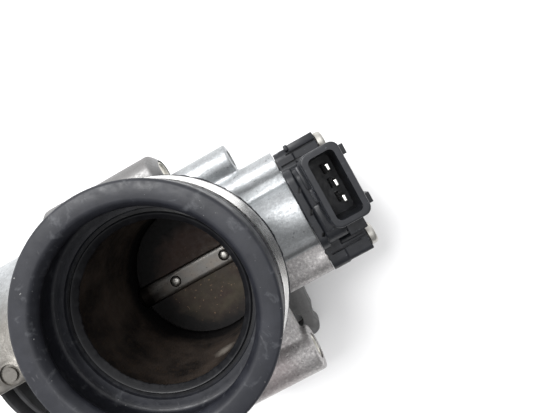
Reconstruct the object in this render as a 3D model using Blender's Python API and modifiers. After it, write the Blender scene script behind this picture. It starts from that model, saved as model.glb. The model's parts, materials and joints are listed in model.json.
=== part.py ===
"""Cable-operated engine throttle body, modelled as an assembly of separate parts.

The bore stands upright: +Z runs up the bore to the air inlet, and +X runs along
the throttle shaft towards the position sensor. All sizes are in metres. Each
part is built around the point where the bore's axis crosses the shaft's axis,
and hangs from an empty that stands at that point.
"""

from math import acos, cos, pi, radians, sin, sqrt, tau

import bmesh
import bpy
from mathutils import Matrix, Vector

# ---------------------------------------------------------------- driving sizes
GAP = 0.0003            # clearance between neighbouring parts
CUT = 0.001             # how far a cutter runs past the face it opens

ORIGIN = (0.0048, 0.0023, 0.030)    # bore and shaft crossing, seen from the base centre

BORE_RADIUS = 0.0240
BARREL_RADIUS = 0.028
BARREL_SHOULDER = 0.0342            # where the inlet neck starts
NECK_RADIUS = 0.0268
NECK_TOP = 0.0430

FLANGE_BOTTOM = -0.030
FLANGE_TOP = -0.021
FLANGE_RADIUS = 0.031
BOLT_CIRCLE_RADIUS = 0.044
BOLT_ANGLES = (radians(15.5), radians(112.5), radians(195.5), radians(292.5))
EAR_RADIUS = 0.008
BOLT_HOLE_RADIUS = 0.0033
FLANGE_GROOVE = (0.0255, 0.0285, 0.0026)    # inner radius, outer radius, depth

SHAFT_RADIUS = 0.004
SHAFT_START = -0.071
SHAFT_END = 0.049
SHAFT_FLAT = 0.0022                 # height of the milled flats above the axis
PLATE_RADIUS = 0.02365
PLATE_THICKNESS = 0.0016
PLATE_SCREW_X = 0.010
PLATE_SCREW_RADIUS = 0.00175

BUSH_POCKET_RADIUS = 0.007
BUSH_POCKET_DEPTH = 0.012
SEAL_LENGTH = 0.0024

SENSOR_FACE = 0.0418                # machined face that carries the sensor
SENSOR_BOSS_RADIUS = 0.0126
SENSOR_LOBE_RADIUS = 0.0054
SENSOR_SCREW_Y = 0.0183
SENSOR_SCREW_RADIUS = 0.0020
SENSOR_BACK = 0.0575
SENSOR_HEAD_RADIUS = 0.0039
SENSOR_HEAD_LENGTH = 0.0026
SENSOR_CAVITY_RADIUS = 0.0092
SLEEVE_RADIUS = 0.0033

SHROUD_CENTRE = (0.05365, 0.0041)
SHROUD_SIZE = (0.0114, 0.0225)
SHROUD_WALL = 0.0017
SHROUD_TOP = 0.031
SOCKET_FLOOR = 0.013
PIN_X = 0.0544
PIN_PITCH = 0.005
PIN_SIZE = (0.0008, 0.0028)
PIN_TOP = 0.0283
PIN_BOTTOM = 0.0098

PORT_BOSS = {"y": 0.0287, "start": -0.004, "end": 0.0288, "radius": 0.0055}
UPPER_BOSS = {"y": 0.0365, "start": -0.040, "end": 0.006, "radius": 0.0075}
LOWER_BOSS = {"y": -0.0450, "start": -0.014, "end": 0.023, "radius": 0.0082}
NIPPLE_RADIUS = 0.0042
NIPPLE_BORE = 0.0028

DRUM_RADIUS = 0.0354
DRUM_WALL = 0.0038
DRUM_START = -0.066
DRUM_BACK = -0.045                  # inner face of the drum's back plate
DRUM_PLATE = 0.004
DRUM_SECTOR = (radians(-2), radians(94))    # from +Z towards +Y
LEVER_BOSS_RADIUS = 0.012
ARM_START = -0.0556
ARM_END = -0.0524
ARM_BOTTOM = -0.0092
QUADRANT_RADIUS = 0.0295
QUADRANT_START = -0.0635
QUADRANT_END = -0.0575
QUADRANT_SECTOR = (radians(-200), radians(-4))
QUADRANT_HUB_START = -0.064
STOP_SCREW = (-0.0532, 0.0165)      # X and Y of the idle stop screw
STOP_SCREW_RADIUS = 0.0020
SPRING_RADIUS = 0.0090
SPRING_WIRE = 0.0008

SEGMENTS = 32
FINE_SEGMENTS = 64


# ---------------------------------------------------------------- scene helpers
def clear_scene():
    """Remove everything that the scene holds."""
    for item in list(bpy.data.objects):
        bpy.data.objects.remove(item, do_unlink=True)
    for group in list(bpy.data.collections):
        bpy.data.collections.remove(group)


def add_collection(name):
    """Make a collection in the scene."""
    group = bpy.data.collections.new(name)
    bpy.context.scene.collection.children.link(group)
    return group


clear_scene()
PARTS = add_collection("throttle_body")
CUTTERS = add_collection("cutters")


def add_empty(name):
    """Make an empty where the bore and shaft axes cross."""
    empty = bpy.data.objects.new(name, None)
    empty.location = ORIGIN
    empty.empty_display_size = 0.02
    PARTS.objects.link(empty)
    return empty


FIXED = add_empty("fixed_frame")
TURNING = add_empty("throttle_axis")


def add_object(name, mesh, helper=False, parent=None):
    """Link a mesh as a part, or as a hidden helper that shapes a part."""
    item = bpy.data.objects.new(name, mesh)
    (CUTTERS if helper else PARTS).objects.link(item)
    item.parent = parent or FIXED
    if helper:
        item.hide_render = True
        item.display_type = "WIRE"
    return item


def add_material(item, color, roughness, metallic):
    """Give an object its own Principled BSDF material."""
    material = bpy.data.materials.new(item.name)
    material.use_nodes = True
    shader = material.node_tree.nodes["Principled BSDF"]
    shader.inputs["Base Color"].default_value = (*color, 1.0)
    shader.inputs["Roughness"].default_value = roughness
    shader.inputs["Metallic"].default_value = metallic
    material.diffuse_color = (*color, 1.0)
    item.data.materials.clear()
    item.data.materials.append(material)


def cast_metal(item):
    """Bright cast aluminium."""
    add_material(item, (0.62, 0.62, 0.61), 0.45, 0.9)


def steel(item):
    """Plain grey steel."""
    add_material(item, (0.48, 0.47, 0.45), 0.35, 1.0)


def bright_metal(item):
    """Bright plated metal."""
    add_material(item, (0.82, 0.82, 0.80), 0.22, 1.0)


def bronze(item):
    """Sintered bronze or brass."""
    add_material(item, (0.62, 0.44, 0.22), 0.40, 1.0)


def stained_brass(item):
    """Brass under an oily brown film."""
    add_material(item, (0.20, 0.17, 0.12), 0.55, 0.6)


def rubber(item):
    """Dark grey moulded rubber."""
    add_material(item, (0.055, 0.057, 0.062), 0.60, 0.0)


def black_plastic(item):
    """Black moulded plastic."""
    add_material(item, (0.030, 0.031, 0.034), 0.45, 0.0)


def green_board(item):
    """Dark green resistor board."""
    add_material(item, (0.05, 0.16, 0.09), 0.40, 0.0)


# ---------------------------------------------------------------- shape helpers
def mesh_from(builder, name):
    """Fill a new mesh with what the builder adds to a bmesh."""
    mesh = bpy.data.meshes.new(name)
    shape = bmesh.new()
    builder(shape)
    shape.to_mesh(mesh)
    shape.free()
    return mesh


def block(name, low, high, helper=True, parent=None):
    """A box between two corners."""
    middle = (Vector(low) + Vector(high)) / 2
    size = Vector(high) - Vector(low)
    matrix = Matrix.Translation(middle) @ Matrix.Diagonal((*size, 1.0))

    def build(shape):
        bmesh.ops.create_cube(shape, size=1.0, matrix=matrix)

    return add_object(name, mesh_from(build, name), helper, parent)


def axis_matrix(axis):
    """Turn +Z onto the named axis."""
    if axis == "X":
        return Matrix.Rotation(radians(90), 4, "Y")
    if axis == "Y":
        return Matrix.Rotation(radians(-90), 4, "X")
    return Matrix.Identity(4)


def rod(name, axis, start, end, radius, centre, segments=SEGMENTS, helper=True, parent=None):
    """A solid cylinder along X, Y or Z, between two places on that axis."""
    place = {
        "X": ((start + end) / 2, centre[0], centre[1]),
        "Y": (centre[0], (start + end) / 2, centre[1]),
        "Z": (centre[0], centre[1], (start + end) / 2),
    }[axis]
    matrix = Matrix.Translation(place) @ axis_matrix(axis)

    def build(shape):
        bmesh.ops.create_cone(
            shape, cap_ends=True, segments=segments, radius1=radius, radius2=radius,
            depth=end - start, matrix=matrix,
        )

    return add_object(name, mesh_from(build, name), helper, parent)


def turned(name, profile, axis="Z", centre=(0.0, 0.0), segments=SEGMENTS, closed=True,
           helper=False, parent=None):
    """A solid of revolution; the profile holds (radius, place along the axis) pairs."""
    mesh = bpy.data.meshes.new(name)
    points = [(radius, 0.0, height) for radius, height in profile]
    count = len(points)
    edges = [(i, (i + 1) % count) for i in range(count if closed else count - 1)]
    mesh.from_pydata(points, edges, [])
    item = add_object(name, mesh, helper, parent)
    if axis == "X":
        item.rotation_euler = (0.0, radians(90), 0.0)
        item.location = (0.0, centre[0], centre[1])
    else:
        item.location = (centre[0], centre[1], 0.0)
    screw = item.modifiers.new("turn", "SCREW")
    screw.axis = "Z"
    screw.angle = tau
    screw.steps = segments
    screw.render_steps = segments
    screw.use_merge_vertices = True
    screw.merge_threshold = 0.00001
    screw.use_smooth_shade = True
    return item


def ring(name, axis, start, end, inner, outer, centre=(0.0, 0.0), segments=SEGMENTS,
         helper=False, parent=None):
    """A plain ring or sleeve."""
    profile = [(outer, end), (outer, start), (inner, start), (inner, end)]
    return turned(name, profile, axis, centre, segments, True, helper, parent)


def chamfered_rod(name, start, end, radius, centre, chamfer, helper=True, parent=None):
    """A cylinder along X with chamfered ends."""
    profile = [
        (0.0, end), (radius - chamfer, end), (radius, end - chamfer),
        (radius, start + chamfer), (radius - chamfer, start), (0.0, start),
    ]
    return turned(name, profile, "X", centre, SEGMENTS, False, helper, parent)


def plate_outline(name, points, axis, low, high, helper=True, parent=None):
    """A flat outline, given in the plane across the axis, with thickness along it."""
    curve = bpy.data.curves.new(name, "CURVE")
    curve.dimensions = "2D"
    curve.fill_mode = "BOTH"
    curve.extrude = (high - low) / 2
    spline = curve.splines.new("POLY")
    spline.points.add(len(points) - 1)
    for point, (first, second) in zip(spline.points, points):
        point.co = (first, second, 0.0, 1.0)
    spline.use_cyclic_u = True
    outline = bpy.data.objects.new(name + "_outline", curve)
    CUTTERS.objects.link(outline)
    middle = (low + high) / 2
    if axis == "X":
        turn = Matrix(((0, 0, 1, middle), (1, 0, 0, 0), (0, 1, 0, 0), (0, 0, 0, 1)))
    else:
        turn = Matrix.Translation((0.0, 0.0, middle))
    bpy.context.view_layer.update()
    evaluated = outline.evaluated_get(bpy.context.evaluated_depsgraph_get())
    mesh = bpy.data.meshes.new_from_object(evaluated)
    mesh.name = name
    bpy.data.objects.remove(outline)
    shape = bmesh.new()
    shape.from_mesh(mesh)
    bmesh.ops.remove_doubles(shape, verts=shape.verts, dist=0.00001)
    bmesh.ops.transform(shape, matrix=turn, verts=shape.verts)
    bmesh.ops.recalc_face_normals(shape, faces=shape.faces)
    shape.to_mesh(mesh)
    shape.free()
    return add_object(name, mesh, helper, parent)


def arc(centre, radius, start, end, steps):
    """Points along an arc, with angles from the first axis to the second."""
    points = []
    for i in range(steps + 1):
        angle = start + (end - start) * i / steps
        points.append((centre[0] + radius * cos(angle), centre[1] + radius * sin(angle)))
    return points


def rounded_box(low, high, radius, steps=3):
    """The outline of a rectangle with rounded corners."""
    corners = [
        ((high[0] - radius, high[1] - radius), 0.0),
        ((low[0] + radius, high[1] - radius), 0.5 * pi),
        ((low[0] + radius, low[1] + radius), pi),
        ((high[0] - radius, low[1] + radius), 1.5 * pi),
    ]
    points = []
    for centre, start in corners:
        points += arc(centre, radius, start, start + 0.5 * pi, steps)
    return points


def hexagon(centre, across_flats):
    """The outline of a hexagon."""
    return arc(centre, across_flats / sqrt(3), 0.0, tau * 5 / 6, 5)


def combine(target, helper, operation):
    """Join a helper to a part, cut it away or keep only what they share."""
    step = target.modifiers.new(helper.name, "BOOLEAN")
    step.operation = operation
    step.solver = "EXACT"
    step.object = helper
    return target


def join(target, *helpers):
    """Add the helpers to a part."""
    for helper in helpers:
        combine(target, helper, "UNION")
    return target


def cut(target, *helpers):
    """Take the helpers away from a part."""
    for helper in helpers:
        combine(target, helper, "DIFFERENCE")
    return target


def settle(item):
    """Turn a shaped part into a plain mesh, smooth on its round faces."""
    bpy.context.view_layer.update()
    evaluated = item.evaluated_get(bpy.context.evaluated_depsgraph_get())
    mesh = bpy.data.meshes.new_from_object(evaluated)
    mesh.name = item.name
    item.modifiers.clear()
    item.data = mesh
    shape = bmesh.new()
    shape.from_mesh(mesh)
    bmesh.ops.remove_doubles(shape, verts=shape.verts, dist=0.000002)
    bmesh.ops.dissolve_degenerate(shape, edges=shape.edges, dist=0.000002)
    shape.to_mesh(mesh)
    shape.free()
    mesh.shade_smooth()
    mesh.set_sharp_from_angle(angle=radians(35))
    return item


# ---------------------------------------------------------------- the casting
def ear_places():
    """Centres of the flange's bolt holes."""
    return [(BOLT_CIRCLE_RADIUS * cos(a), BOLT_CIRCLE_RADIUS * sin(a)) for a in BOLT_ANGLES]


def add_flange(casting):
    """The engine-side flange: a disc with four ears that run into it on tangents."""
    spread = acos((FLANGE_RADIUS - EAR_RADIUS) / BOLT_CIRCLE_RADIUS)
    disc = rod("flange_disc", "Z", FLANGE_BOTTOM, FLANGE_TOP, FLANGE_RADIUS, (0, 0), FINE_SEGMENTS)
    join(casting, disc)
    for i, (place, middle) in enumerate(zip(ear_places(), BOLT_ANGLES)):
        tip = arc(place, EAR_RADIUS, middle - spread, middle + spread, 8)
        root = arc((0, 0), FLANGE_RADIUS, middle + spread, middle - spread, 2)
        inner = [root[0], (0.0, 0.0), root[-1]]
        ear = plate_outline(f"flange_ear_{i}", tip + inner, "Z", FLANGE_BOTTOM, FLANGE_TOP)
        join(casting, ear)


def add_sensor_boss(casting):
    """Three lobes in a row along X that carry the sensor."""
    start = 0.014
    centre = rod("sensor_boss", "X", start, SENSOR_FACE, SENSOR_BOSS_RADIUS, (0, 0), 40)
    web_half = 0.0046
    web = block(
        "sensor_web", (start, -SENSOR_SCREW_Y, -web_half), (SENSOR_FACE, SENSOR_SCREW_Y, web_half)
    )
    join(casting, centre, web)
    for side in (-1, 1):
        place = (side * SENSOR_SCREW_Y, 0.0)
        lobe = rod(f"sensor_lobe_{side}", "X", start, SENSOR_FACE, SENSOR_LOBE_RADIUS, place, 24)
        join(casting, lobe)


def add_passage_bosses(casting):
    """Long bosses beside the barrel that hold the drilled passages."""
    half = 0.005
    for name, boss in (("port", PORT_BOSS), ("upper", UPPER_BOSS), ("lower", LOWER_BOSS)):
        shape = chamfered_rod(
            f"{name}_boss", boss["start"], boss["end"], boss["radius"], (boss["y"], 0.0), 0.0009
        )
        join(casting, shape)
    port_web = block("port_web", (0.004, 0.016, -0.0032), (0.0265, PORT_BOSS["y"], 0.0032))
    upper_web = block(
        "upper_web", (UPPER_BOSS["start"] + 0.004, 0.006, -half),
        (UPPER_BOSS["end"] - 0.0025, UPPER_BOSS["y"], half),
    )
    lower_web = block(
        "lower_web", (LOWER_BOSS["start"] + 0.002, LOWER_BOSS["y"], -half),
        (LOWER_BOSS["end"] - 0.0027, -0.016, half),
    )
    join(casting, port_web, upper_web, lower_web)
    foot = rod("nipple_foot", "Z", -0.0085, -0.0007, NIPPLE_RADIUS + 0.0028,
               (UPPER_BOSS["start"] + 0.008, UPPER_BOSS["y"]), 24)
    collar = chamfered_rod("upper_collar", UPPER_BOSS["start"] + 0.0004,
                           UPPER_BOSS["start"] + 0.0085, UPPER_BOSS["radius"] + 0.0009,
                           (UPPER_BOSS["y"], 0.0), 0.0009)
    join(casting, foot, collar)


def add_lever_side(casting):
    """The open drum around the cable lever, with its ribs and the idle stop's boss."""
    outer = DRUM_RADIUS
    inner = DRUM_RADIUS - DRUM_WALL
    back = DRUM_BACK + DRUM_PLATE
    drum = turned(
        "lever_drum",
        [(0.0, back), (outer, back), (outer, DRUM_START), (inner, DRUM_START),
         (inner, DRUM_BACK), (0.0, DRUM_BACK)],
        "X", (0.0, 0.0), FINE_SEGMENTS, False, True,
    )
    low, high = DRUM_SECTOR
    reach = 0.090
    middle = (low + high) / 2
    wedge_points = [(-0.002 * sin(middle), -0.002 * cos(middle))]
    wedge_points += [(reach * sin(angle), reach * cos(angle)) for angle in (low, middle, high)]
    wedge = plate_outline("drum_wedge", wedge_points, "X", DRUM_START - CUT, back + CUT)
    combine(drum, wedge, "INTERSECT")
    boss = rod("lever_boss", "X", DRUM_BACK, -0.014, LEVER_BOSS_RADIUS, (0, 0), 40)
    hub = rod("lever_hub", "X", DRUM_BACK, back, 0.016, (0, 0), 40)
    level_rib = block("level_rib", (back - 0.002, -0.006, -0.0035), (-0.020, 0.024, 0.0035))
    upright_rib = block("upright_rib", (back - 0.002, -0.003, 0.0), (-0.020, 0.003, 0.024))
    bracket = block("stop_bracket", (DRUM_BACK, 0.004, -0.023), (back, 0.0206, 0.0))
    stop = block("stop_boss", (-0.0571, 0.0124, -0.023), (back, 0.0206, -0.0135))
    pad = rod("round_pad", "Z", 0.030, DRUM_RADIUS + 0.0006, 0.0038, (-0.0515, 0.0018), 24)
    join(casting, drum, boss, hub, level_rib, upright_rib, bracket, stop, pad)


def drill_casting(casting):
    """Every machined hole, pocket and groove of the casting."""
    bore = rod("bore_cut", "Z", FLANGE_BOTTOM - CUT, NECK_TOP + CUT, BORE_RADIUS, (0, 0),
               FINE_SEGMENTS)
    cut(casting, bore)
    tunnel = rod("shaft_tunnel", "X", DRUM_BACK - CUT, SENSOR_FACE + CUT, SHAFT_RADIUS + GAP,
                 (0, 0), 24)
    lever_pocket = rod("lever_pocket", "X", DRUM_BACK - CUT, DRUM_BACK + BUSH_POCKET_DEPTH,
                       BUSH_POCKET_RADIUS, (0, 0), 28)
    sensor_pocket = rod("sensor_pocket", "X", SENSOR_FACE - BUSH_POCKET_DEPTH,
                        SENSOR_FACE + CUT, BUSH_POCKET_RADIUS, (0, 0), 28)
    cut(casting, tunnel, lever_pocket, sensor_pocket)
    for i, place in enumerate(ear_places()):
        hole = rod(f"flange_hole_{i}", "Z", FLANGE_BOTTOM - CUT, FLANGE_TOP + CUT,
                   BOLT_HOLE_RADIUS, place, 20)
        cut(casting, hole)
    inner, outer, depth = FLANGE_GROOVE
    groove = ring("flange_groove", "Z", FLANGE_BOTTOM - CUT, FLANGE_BOTTOM + depth, inner, outer,
                  (0, 0), FINE_SEGMENTS, True)
    cut(casting, groove)
    for side in (-1, 1):
        hole = rod(f"sensor_thread_{side}", "X", 0.030, SENSOR_FACE + CUT,
                   SENSOR_SCREW_RADIUS + GAP, (side * SENSOR_SCREW_Y, 0), 16)
        cut(casting, hole)
    port = rod("port_drilling", "X", 0.002, PORT_BOSS["end"] + CUT, 0.0032,
               (PORT_BOSS["y"], 0), 20)
    vacuum = rod("vacuum_drilling", "Y", 0.020, PORT_BOSS["y"], 0.0012, (0.0045, -0.0024), 12)
    upper = rod("upper_drilling", "X", UPPER_BOSS["start"] + 0.004, UPPER_BOSS["end"] + CUT,
                0.0042, (UPPER_BOSS["y"], 0), 20)
    upper_outlet = rod("upper_outlet", "Z", -0.020, 0.0013, NIPPLE_RADIUS + GAP,
                       (UPPER_BOSS["start"] + 0.008, UPPER_BOSS["y"]), 20)
    lower = rod("lower_drilling", "X", LOWER_BOSS["start"] - CUT, LOWER_BOSS["end"] + CUT,
                0.0048, (LOWER_BOSS["y"], 0), 20)
    cut(casting, port, vacuum, upper, upper_outlet, lower)
    stop = rod("stop_thread", "Z", -0.024, -0.012, STOP_SCREW_RADIUS + GAP, STOP_SCREW, 16)
    spring_hole = rod("spring_hole", "X", DRUM_BACK - CUT, DRUM_BACK + 0.0042,
                      SPRING_WIRE + GAP, (0.0, SPRING_RADIUS), 12)
    cut(casting, stop, spring_hole)


def make_housing():
    """The one-piece aluminium casting."""
    profile = [
        (0.0, NECK_TOP), (NECK_RADIUS - 0.0010, NECK_TOP), (NECK_RADIUS, NECK_TOP - 0.0010),
        (NECK_RADIUS, 0.0386), (NECK_RADIUS - 0.0009, 0.0380),
        (NECK_RADIUS - 0.0009, BARREL_SHOULDER), (0.0290, BARREL_SHOULDER - 0.0004),
        (0.0294, BARREL_SHOULDER - 0.0008), (0.0294, 0.0302), (BARREL_RADIUS, 0.0280),
        (BARREL_RADIUS, FLANGE_TOP - 0.004), (0.0, FLANGE_TOP - 0.004),
    ]
    casting = turned("throttle_housing", profile, "Z", (0, 0), FINE_SEGMENTS, False)
    add_flange(casting)
    add_sensor_boss(casting)
    add_passage_bosses(casting)
    add_lever_side(casting)
    drill_casting(casting)
    settle(casting)
    cast_metal(casting)


def make_flange_seal():
    """Square-section seal that sits in the flange's groove."""
    inner, outer, depth = FLANGE_GROOVE
    seal = ring("flange_seal", "Z", FLANGE_BOTTOM + 0.0002, FLANGE_BOTTOM + depth - GAP,
                inner + GAP, outer - GAP, (0, 0), 48)
    settle(seal)
    rubber(seal)


# ---------------------------------------------------------------- inlet ring
def make_inlet_seal():
    """The moulded rubber ring on the inlet neck, with its stepped inside."""
    neck = NECK_RADIUS + GAP
    profile = [
        (0.0304, 0.0556), (0.0311, 0.0554), (0.0313, 0.0549), (0.0312, 0.0470),
        (0.0303, 0.0461), (0.0303, 0.0454), (0.0309, 0.0354), (0.0320, 0.0350),
        (0.0321, 0.0347), (0.0319, 0.0345), (neck, 0.0345), (neck, NECK_TOP + GAP),
        (0.0236, NECK_TOP + GAP), (0.0234, 0.0428), (0.0216, 0.0428), (0.0213, 0.0431),
        (0.0215, 0.0435), (0.0224, 0.0443), (0.0228, 0.0446),
        (0.0262, 0.0449), (0.0272, 0.0455), (0.0274, 0.0464), (0.0273, 0.0502),
        (0.0255, 0.0520), (0.0250, 0.0528), (0.0251, 0.0535), (0.0260, 0.0551),
        (0.0268, 0.0556),
    ]
    seal = turned("inlet_seal", profile, "Z", (0, 0), 48)
    settle(seal)
    rubber(seal)


def make_seal_band():
    """The bright steel band round the foot of the rubber ring."""
    wall = 0.0006
    profile = [
        (0.0314, 0.0450), (0.0317, 0.0420), (0.0321, 0.0380), (0.0322, 0.0354),
        (0.0322 - wall, 0.0354), (0.0321 - wall, 0.0380), (0.0317 - wall, 0.0420),
        (0.0314 - wall, 0.0450),
    ]
    band = turned("seal_band", profile, "Z", (0, 0), 48)
    settle(band)
    bright_metal(band)


# ---------------------------------------------------------------- shaft bearings
def make_bushes():
    """A bronze bush and a rubber lip seal at each end of the shaft tunnel."""
    inner = SHAFT_RADIUS + GAP
    outer = BUSH_POCKET_RADIUS - GAP
    for name, face, way in (("lever_side", DRUM_BACK, 1), ("sensor_side", SENSOR_FACE, -1)):
        seal_out = face + way * GAP
        seal_in = seal_out + way * SEAL_LENGTH
        bush_out = seal_in + way * GAP
        bush_in = face + way * (BUSH_POCKET_DEPTH - GAP)
        seal = ring(f"{name}_seal", "X", min(seal_out, seal_in), max(seal_out, seal_in),
                    inner, outer)
        bush = ring(f"{name}_bush", "X", min(bush_out, bush_in), max(bush_out, bush_in),
                    inner, outer)
        settle(seal)
        settle(bush)
        rubber(seal)
        bronze(bush)


# ---------------------------------------------------------------- throttle valve
def make_shaft():
    """The shaft, slotted for the plate and milled flat above and below it."""
    shaft = rod("throttle_shaft", "X", SHAFT_START, SHAFT_END, SHAFT_RADIUS, (0, 0), 32, False,
                TURNING)
    slot_half = PLATE_THICKNESS / 2 + GAP
    slot_end = PLATE_RADIUS + GAP
    slot = block("plate_slot", (-slot_end, -0.006, -slot_half), (slot_end, 0.006, slot_half))
    flat_end = 0.0237
    top = block("shaft_top_flat", (-flat_end, -0.006, SHAFT_FLAT), (flat_end, 0.006, 0.006))
    bottom = block("shaft_low_flat", (-flat_end, -0.006, -0.006), (flat_end, 0.006, -SHAFT_FLAT))
    cut(shaft, slot, top, bottom)
    for side in (-1, 1):
        hole = rod(f"shaft_hole_{side}", "Z", -0.006, 0.006, PLATE_SCREW_RADIUS + GAP,
                   (side * PLATE_SCREW_X, 0), 20)
        cut(shaft, hole)
    settle(shaft)
    steel(shaft)


def make_plate():
    """The round valve plate."""
    half = PLATE_THICKNESS / 2
    profile = [
        (0.0, half), (PLATE_RADIUS - 0.0002, half), (PLATE_RADIUS, half - 0.0002),
        (PLATE_RADIUS, -half + 0.0002), (PLATE_RADIUS - 0.0002, -half), (0.0, -half),
    ]
    plate = turned("throttle_plate", profile, "Z", (0, 0), FINE_SEGMENTS, False, False, TURNING)
    for side in (-1, 1):
        hole = rod(f"plate_hole_{side}", "Z", -0.004, 0.004, PLATE_SCREW_RADIUS + GAP,
                   (side * PLATE_SCREW_X, 0), 20)
        cut(plate, hole)
    settle(plate)
    stained_brass(plate)


def make_plate_screws():
    """Two screws from below, with their staked ends showing above."""
    head = -SHAFT_FLAT - GAP
    end = 0.0027
    profile = [
        (0.0, end), (0.0010, end - 0.0001), (PLATE_SCREW_RADIUS, end - 0.0007),
        (PLATE_SCREW_RADIUS, head), (0.0030, head), (0.0030, head - 0.0012),
        (0.0022, head - 0.0018), (0.0, head - 0.0020),
    ]
    for name, side in (("lever_side", -1), ("sensor_side", 1)):
        screw = turned(f"plate_screw_{name}", profile, "Z", (side * PLATE_SCREW_X, 0), 20, False,
                       False, TURNING)
        settle(screw)
        steel(screw)


# ---------------------------------------------------------------- cable lever
def make_quadrant():
    """The cable quadrant: grooved sector, hub, and the arm that meets the idle stop."""
    groove_depth = 0.003
    side = 0.0015
    start = QUADRANT_START
    end = QUADRANT_END
    rim = QUADRANT_RADIUS
    sector = turned(
        "cable_quadrant",
        [(0.0, end), (rim, end), (rim, end - side), (rim - groove_depth, end - side - 0.0008),
         (rim - groove_depth, start + side + 0.0008), (rim, start + side), (rim, start),
         (0.0, start)],
        "X", (0, 0), 48, False, False, TURNING,
    )
    low, high = QUADRANT_SECTOR
    steps = 8
    reach = 0.045
    points = [(0.0, 0.0)]
    for i in range(steps + 1):
        angle = low + (high - low) * i / steps
        points.append((reach * sin(angle), reach * cos(angle)))
    wedge = plate_outline("quadrant_wedge", points, "X", start - CUT, end + CUT)
    combine(sector, wedge, "INTERSECT")
    hub = rod("quadrant_hub", "X", QUADRANT_HUB_START, ARM_END, 0.0092, (0, 0), 32)
    collar = rod("quadrant_collar", "X", ARM_START, ARM_END, 0.0125, (0, 0), 32)
    arm = block("quadrant_arm", (ARM_START, 0.004, ARM_BOTTOM), (ARM_END, 0.020, -0.0042))
    join(sector, hub, collar, arm)
    nipple_angle = QUADRANT_SECTOR[1] - radians(14)
    place = (0.024 * sin(nipple_angle), 0.024 * cos(nipple_angle))
    nipple = rod("nipple_pocket", "X", start - CUT, end - 0.0012, 0.0036, place, 20)
    tunnel = rod("quadrant_bore", "X", QUADRANT_HUB_START - CUT, ARM_END + CUT,
                 SHAFT_RADIUS + GAP, (0, 0), 24)
    spring_hole = rod("lever_spring_hole", "X", ARM_END - 0.0024, ARM_END + CUT,
                      SPRING_WIRE + GAP, (0.0, SPRING_RADIUS), 12)
    cut(sector, nipple, tunnel, spring_hole)
    for i, angle in enumerate((radians(-75), radians(-115), radians(-155))):
        hole_place = (0.0175 * sin(angle), 0.0175 * cos(angle))
        cut(sector, rod(f"lightening_{i}", "X", start - CUT, end + CUT, 0.0044, hole_place, 20))
    settle(sector)
    black_plastic(sector)


def make_lever_fasteners():
    """The washer and nut on the shaft's lever end."""
    washer_end = QUADRANT_HUB_START - GAP
    washer_start = washer_end - 0.0012
    washer = ring("lever_washer", "X", washer_start, washer_end, SHAFT_RADIUS + GAP, 0.0088,
                  parent=TURNING)
    settle(washer)
    steel(washer)
    nut_end = washer_start - GAP
    nut = plate_outline("lever_nut", hexagon((0, 0), 0.013), "X", nut_end - 0.0046, nut_end,
                        False, TURNING)
    hole = rod("nut_hole", "X", nut_end - 0.006, nut_end + CUT, SHAFT_RADIUS + GAP, (0, 0), 24)
    cut(nut, hole)
    settle(nut)
    steel(nut)


def make_return_spring():
    """The torsion spring between the casting and the quadrant."""
    turns = 3
    steps = 12
    start = ARM_END + 0.0006 + SPRING_WIRE
    end = DRUM_BACK - 0.0004 - SPRING_WIRE
    points = [(ARM_END - 0.0018, 0.0, SPRING_RADIUS)]
    for i in range(turns * steps + 1):
        angle = tau * i / steps
        along = start + (end - start) * i / (turns * steps)
        points.append((along, SPRING_RADIUS * sin(angle), SPRING_RADIUS * cos(angle)))
    points.append((DRUM_BACK + 0.0036, 0.0, SPRING_RADIUS))
    curve = bpy.data.curves.new("return_spring", "CURVE")
    curve.dimensions = "3D"
    curve.bevel_depth = SPRING_WIRE
    curve.bevel_resolution = 2
    curve.use_fill_caps = True
    spline = curve.splines.new("POLY")
    spline.points.add(len(points) - 1)
    for point, place in zip(spline.points, points):
        point.co = (*place, 1.0)
    coil = bpy.data.objects.new("spring_wire", curve)
    CUTTERS.objects.link(coil)
    bpy.context.view_layer.update()
    evaluated = coil.evaluated_get(bpy.context.evaluated_depsgraph_get())
    mesh = bpy.data.meshes.new_from_object(evaluated)
    mesh.name = "return_spring"
    bpy.data.objects.remove(coil)
    shape = bmesh.new()
    shape.from_mesh(mesh)
    bmesh.ops.remove_doubles(shape, verts=shape.verts, dist=0.00001)
    bmesh.ops.recalc_face_normals(shape, faces=shape.faces)
    shape.to_mesh(mesh)
    shape.free()
    mesh.shade_smooth()
    steel(add_object("return_spring", mesh))


def make_idle_stop():
    """The idle stop screw and its locknut."""
    tip = ARM_BOTTOM - GAP
    x, y = STOP_SCREW
    profile = [
        (0.0, tip), (0.0012, tip), (STOP_SCREW_RADIUS, tip - 0.0008),
        (STOP_SCREW_RADIUS, -0.0284), (0.0, -0.0284),
    ]
    screw = turned("idle_stop_screw", profile, "Z", (x, y), 20, False)
    slot = block("stop_slot", (x - 0.003, y - 0.0004, -0.0290), (x + 0.003, y + 0.0004, -0.0274))
    cut(screw, slot)
    settle(screw)
    steel(screw)
    top = -0.023 - GAP
    nut = plate_outline("idle_stop_locknut", hexagon((x, y), 0.007), "Z", top - 0.003, top, False)
    hole = rod("locknut_hole", "Z", top - 0.004, top + CUT, STOP_SCREW_RADIUS + GAP, (x, y), 20)
    cut(nut, hole)
    settle(nut)
    steel(nut)


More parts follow.
